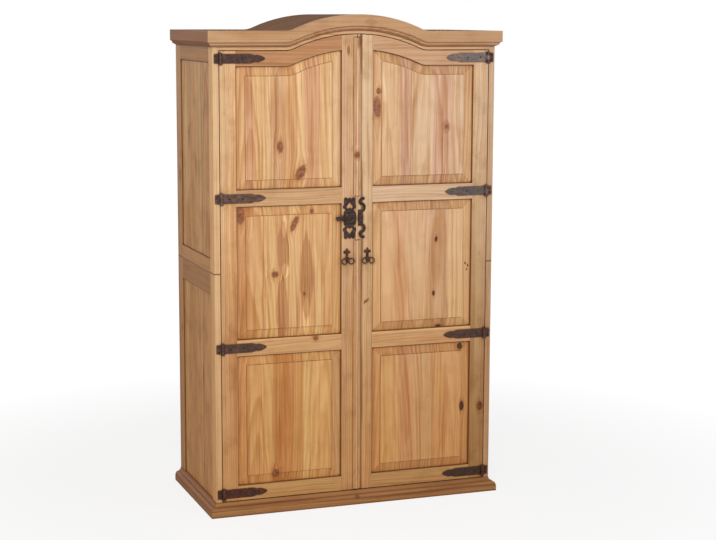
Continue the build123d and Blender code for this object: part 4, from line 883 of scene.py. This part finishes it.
# Iron. The hinges differ in tone, so the straps have a tint for each height; the brightest, on the top right
# strap, paints its highlight.
left_tints = (
    (0.0, (0.92, 0.50, 0.32, 1.0)), (0.3, (1.08, 0.95, 0.82, 1.0)), (0.9, (1.5, 1.5, 1.45, 1.0)),
    (1.6, (0.86, 0.72, 0.66, 1.0)),
)
right_tints = (
    (0.0, (0.64, 0.40, 0.24, 1.0)), (0.3, (1.0, 0.66, 0.48, 1.0)), (0.9, (1.45, 1.6, 1.6, 1.0)),
    (1.6, (2.2, 2.3, 2.3, 1.0)),
)
strap_iron = iron("strap_iron", linear(70, 51, 45), linear(97, 64, 47), 0.7, tints=left_tints)
grey_strap_iron = iron("grey_strap_iron", linear(78, 69, 68), linear(96, 72, 60), 0.6, 0.36, right_tints)
lock_iron = iron("lock_iron", linear(52, 40, 36), linear(86, 56, 40), 0.65, 0.34)
pull_iron = iron("pull_iron", linear(64, 40, 30), linear(110, 64, 38), 0.9, 0.40)
nail_iron = iron("nail_iron", linear(30, 25, 26), linear(48, 34, 30), 0.6, 0.4)
for node in ("left_straps", "left_hinge_leaves", "right_hinge_leaves", "hinge_pins"):
    dress(node, strap_iron)
dress("right_straps", grey_strap_iron)
for node in ("lock_plate", "bolt_cover", "bolt", "keeper", "keeper_box"):
    dress(node, lock_iron)
for node in ("left_pull_plate", "right_pull_plate"):
    dress(node, pull_iron)


# -------- new pieces
def piece_from(name, points, faces, material, body, smooth=True):
    mesh = bpy.data.meshes.new(name)
    mesh.from_pydata(points, [], faces)
    mesh.update()
    for face in mesh.polygons:
        face.use_smooth = smooth
    mesh.materials.append(material)
    piece = bpy.data.objects.new(name, mesh)
    bpy.context.scene.collection.objects.link(piece)
    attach(piece, body)
    return piece


def skin(faces, first, following, sides, turned=False):
    """Adds the faces between two rings of points, each ring given by the number of its first point."""
    for k in range(sides):
        after = (k + 1) % sides
        a, b, c, d = first + k, first + after, following + after, following + k
        faces.append((a, d, c, b) if turned else (a, b, c, d))


NAIL_RADIUS = 0.0036
SMALL_NAIL_RADIUS = 0.0026
NAIL_HEIGHT = 0.0018
NAIL_SIDES = 9
NAIL_RINGS = ((1.0, -0.25), (0.97, 0.35), (0.74, 0.80), (0.36, 1.0))    # shares of radius and height


def nail_heads(name, places, body, radius=NAIL_RADIUS):
    """Hammered nail heads on faces that look towards -Y: low uneven domes with a flat on top."""
    points, faces = [], []
    for x, y, z in places:
        first = len(points)
        turn = random.uniform(0, pi)
        lean_x, lean_z = random.uniform(-0.15, 0.15), random.uniform(-0.15, 0.15)
        for out, up in NAIL_RINGS:
            for k in range(NAIL_SIDES):
                angle = turn + 2 * pi * k / NAIL_SIDES
                reach = radius * out * random.uniform(0.93, 1.05)
                rise = NAIL_HEIGHT * up * (1 + lean_x * cos(angle) + lean_z * sin(angle))
                points.append((x + reach * cos(angle), y - rise, z + reach * sin(angle)))
        points.append((x, y - NAIL_HEIGHT, z))
        top = first + (len(NAIL_RINGS) - 1) * NAIL_SIDES
        for ring in range(first, top, NAIL_SIDES):
            skin(faces, ring, ring + NAIL_SIDES, NAIL_SIDES)
        for k in range(NAIL_SIDES):
            faces.append((top + k, top + (k + 1) % NAIL_SIDES, len(points) - 1))
    return piece_from(name, points, faces, nail_iron, body)


BEAD_OUTER = 0.0013         # the gap lies at 0
BEAD_INNER = -0.0052
LATH_INNER = -0.0042
BEAD_STEPS = 8


def meeting_bead():
    """Slim round bead on the left door that covers the gap, with a thin lath where it passes the lock."""
    heights = [v.co.z for v in nodes["left_meeting_strips"].data.vertices]
    lock_middle = (low("lock_plate").z + high("lock_plate").z) / 2
    below = [z for z in heights if z < lock_middle]
    above = [z for z in heights if z > lock_middle]
    strip_face = low("left_meeting_strips").y - 0.0002
    lath_face = front_y - 0.0014
    # Bottom, top, inner edge, face, rise in the middle, thickness at the inner and the outer edge.
    lengths = (
        (min(below), max(below), BEAD_INNER, strip_face, 0.0016, 0.0014, 0.0024),
        (max(below), min(above), LATH_INNER, lath_face, 0.0008, 0.0014, 0.0014),
        (min(above), max(above) - 0.001, BEAD_INNER, strip_face, 0.0016, 0.0014, 0.0024),
    )
    points, faces = [], []
    for bottom, top, inner, face, rise, inner_back, outer_back in lengths:
        section = [(inner, face + inner_back)]
        for k in range(BEAD_STEPS + 1):
            share = k / BEAD_STEPS
            x = inner + (BEAD_OUTER - inner) * share
            section.append((x, face - rise * sin(pi * (0.08 + 0.84 * share))))
        section.append((BEAD_OUTER, face + outer_back))
        count = len(section)
        first = len(points)
        points += [(x, y, z) for z in (bottom, top) for x, y in section]
        skin(faces, first, first + count, count)
        faces.append(tuple(first + k for k in reversed(range(count))))
        faces.append(tuple(first + count + k for k in range(count)))
    # The bead's pale tone is partly a painted highlight along its ridge.
    wood = pine(
        "meeting_bead_wood", FRONT_UP, [Board(FIRST, linear(232, 194, 150), 0.1, 0.33, 0.01)], 111,
        [Knot(-0.002, 1.431, 0.009, 0.013)],
        # The darker patch at the bead's top is painted shadow.
        [Patch(0.0, 1.90, 0.02, 0.06, SMUDGE_AND_SHADOW), Patch(0.0, 0.35, 0.02, 0.40, SHADE)],
        ring=0.007, figure=0.4, wax=0.3,
    )
    return piece_from("meeting_bead", points, faces, wood, "left_door", False)


meeting_bead()

STRAP_THICKNESS = 0.003
STRAP_NAILS = (0.033, 0.087)        # from the hinge's axis
LEAF_NAILS_IN = 0.0157
LEAF_NAILS_UP = (-0.009, 0.009)
strap_end = high("left_straps").x
strap_heights = sorted({
    round(v.co.z, 4) for v in nodes["left_straps"].data.vertices if v.co.x > strap_end - 0.0001
})
strap_face = front_y - STRAP_THICKNESS
leaf_nails, left_nails, right_nails = [], [], []
for z in strap_heights:
    for way, places in ((1, left_nails), (-1, right_nails)):
        places += [(way * (hinge_x + along), strap_face, z) for along in STRAP_NAILS]
        leaf_nails += [(way * (hinge_x - LEAF_NAILS_IN), strap_face, z + up) for up in LEAF_NAILS_UP]
nail_heads("leaf_nails", leaf_nails, "cabinet")
nail_heads("left_strap_nails", left_nails, "left_door")
nail_heads("right_strap_nails", right_nails, "right_door")

LOCK_THICKNESS = 0.0025
# Across and up from the lock's middle, for the keeper across from the gap.
LOCK_NAILS = ((-0.016, -0.0755), (-0.016, 0.0755), (0.016, -0.0755), (0.016, 0.0755))
KEEPER_NAILS = ((0.0145, -0.0573), (0.026, -0.0775), (0.0145, 0.0573), (0.026, 0.0775))
lock_low, lock_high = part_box("lock_plate")
lock_x, lock_z = (lock_low.x + lock_high.x) / 2, (lock_low.z + lock_high.z) / 2
lock_face = front_y - LOCK_THICKNESS
nail_heads("lock_nails", [
    (lock_x + across, lock_face, lock_z + up) for across, up in LOCK_NAILS
], "left_door", SMALL_NAIL_RADIUS)
nail_heads("keeper_nails", [
    (across, lock_face, lock_z + up) for across, up in KEEPER_NAILS
], "right_door", SMALL_NAIL_RADIUS)

BAR_RADIUS = 0.0020
BAR_END_SWELL = 1.04
BAR_STEPS = 6
ROD_RADIUS = 0.0028
ROD_SIDES = 12
ROD_INSET = 0.0004          # keeps the uneven rod inside the eight-sided one
RING_STEPS = 40
pulls = {j["name"]: j["pos_m"] for j in frame["joints"] if j["name"].endswith("bail_swing")}


def bail(side):
    """Two hand-forged rings hanging from the ends of a short bar, in place of the eight-sided ones."""
    pull_x, pull_y, pull_z = pulls[side + "_bail_swing"]
    box_low, box_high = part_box(side + "_bail")
    ring_z = (box_low.z + box_high.z) / 2
    outside = (box_high.z - box_low.z - 2 * ROD_RADIUS) / 2
    reach = (box_high.x - box_low.x) / 2 - outside - ROD_RADIUS
    points, faces = [], []
    for way in (-1, 1):
        first = len(points)
        phase = random.uniform(0, pi)
        for i in range(RING_STEPS):
            turn = 2 * pi * i / RING_STEPS
            thick = ROD_RADIUS * (0.96 + 0.035 * sin(3 * turn + phase))
            for k in range(ROD_SIDES):
                around = 2 * pi * k / ROD_SIDES
                radius = outside - ROD_INSET + thick * cos(around)
                x = pull_x + way * reach + radius * sin(turn)
                points.append((x, pull_y + thick * sin(around), ring_z + radius * cos(turn)))
        for i in range(RING_STEPS):
            skin(faces, first + i * ROD_SIDES, first + (i + 1) % RING_STEPS * ROD_SIDES, ROD_SIDES)
    first = len(points)
    for step in range(BAR_STEPS + 1):
        x = pull_x + reach * (2 * step / BAR_STEPS - 1)
        radius = BAR_RADIUS * (1.0 if step in (2, 3, 4) else BAR_END_SWELL)
        for k in range(ROD_SIDES):
            around = 2 * pi * k / ROD_SIDES
            points.append((x, pull_y + radius * sin(around), pull_z + radius * cos(around)))
    for step in range(BAR_STEPS):
        skin(faces, first + step * ROD_SIDES, first + (step + 1) * ROD_SIDES, ROD_SIDES, True)
    piece = piece_from(side + "_round_bail", points, faces, pull_iron, side + "_bail")
    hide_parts(side + "_bail")


bail("left")
bail("right")

# -------- room and light
WORLD_FILL = 0.37
KEY_WATTS = 130.0
COOL_WATTS = 26.0
FLOOR_HALF = 30
GLOW_STARTS = 1.0           # metres from the cabinet's middle
GLOW_FULL = 3.2

world = bpy.data.worlds.new("studio")
bpy.context.scene.world = world
world.use_nodes = True
sky = world.node_tree
fill = sky.nodes["Background"]
fill.inputs["Color"].default_value = (1.0, 0.985, 0.96, 1.0)
fill.inputs["Strength"].default_value = WORLD_FILL
white = sky.nodes.new("ShaderNodeBackground")
white.inputs["Color"].default_value = (1, 1, 1, 1)
rays = sky.nodes.new("ShaderNodeLightPath")
seen_ray = rays.outputs["Is Camera Ray"]
for kind in ("Is Glossy Ray", "Is Transmission Ray"):
    either = sky.nodes.new("ShaderNodeMath")
    either.operation = "MAXIMUM"
    sky.links.new(seen_ray, either.inputs[0])
    sky.links.new(rays.outputs[kind], either.inputs[1])
    seen_ray = either.outputs[0]
choose = sky.nodes.new("ShaderNodeMixShader")
sky.links.new(seen_ray, choose.inputs[0])
sky.links.new(fill.outputs[0], choose.inputs[1])
sky.links.new(white.outputs[0], choose.inputs[2])
sky.links.new(choose.outputs[0], sky.nodes["World Output"].inputs[0])

# Pale floor: it takes the cabinet's shadow and fades to plain white further out.
corners = [(x * FLOOR_HALF, y * FLOOR_HALF, 0) for x, y in ((-1, -1), (1, -1), (1, 1), (-1, 1))]
floor_mesh = bpy.data.meshes.new("floor")
floor_mesh.from_pydata(corners, [], [(0, 1, 2, 3)])
floor = bpy.data.objects.new("floor", floor_mesh)
bpy.context.scene.collection.objects.link(floor)
paint = Tree("pale_floor")
paint.shader.inputs["Base Color"].default_value = (0.86, 0.855, 0.85, 1)
paint.shader.inputs["Roughness"].default_value = 0.9
glow = paint.put("Emission")
glow.inputs["Color"].default_value = (1, 1, 1, 1)
seen = paint.put("LightPath")
from_middle = paint.put("VectorMath", operation="LENGTH")
paint.feed(from_middle.inputs[0], paint.put("TexCoord").outputs["Object"])
outwards = from_middle.outputs["Value"]
glowing = paint.smooth(outwards, GLOW_STARTS, GLOW_FULL, 0.80, 1.0)
paint.feed(glow.inputs["Strength"], paint.smooth(outwards, GLOW_STARTS, GLOW_FULL, 1.02, 1.05))
blend = paint.put("MixShader")
viewed = paint.maths("MAXIMUM", seen.outputs["Is Camera Ray"], seen.outputs["Is Transmission Ray"])
paint.feed(blend.inputs[0], paint.maths("MULTIPLY", viewed, glowing))
paint.feed(blend.inputs[1], paint.shader.outputs[0])
paint.feed(blend.inputs[2], glow.outputs[0])
paint.feed(paint.output.inputs["Surface"], blend.outputs[0])
floor_mesh.materials.append(paint.material)


def softbox(name, place, target, size, watts, colour):
    lamp = bpy.data.lights.new(name, "AREA")
    lamp.shape = "RECTANGLE"
    lamp.size, lamp.size_y = size
    lamp.energy = watts
    lamp.color = colour
    holder = bpy.data.objects.new(name, lamp)
    bpy.context.scene.collection.objects.link(holder)
    way = Vector(target) - Vector(place)
    holder.matrix_world = Matrix.Translation(place) @ way.to_track_quat("-Z", "Y").to_matrix().to_4x4()


softbox("key", (-2.1, -4.6, 2.9), (0, -0.3, 1.1), (2.0, 1.6), KEY_WATTS, (1.0, 0.98, 0.96))
softbox("cool", (2.2, -3.2, 3.4), (0.5, -0.3, 1.7), (1.4, 1.4), COOL_WATTS, (0.78, 0.90, 1.0))
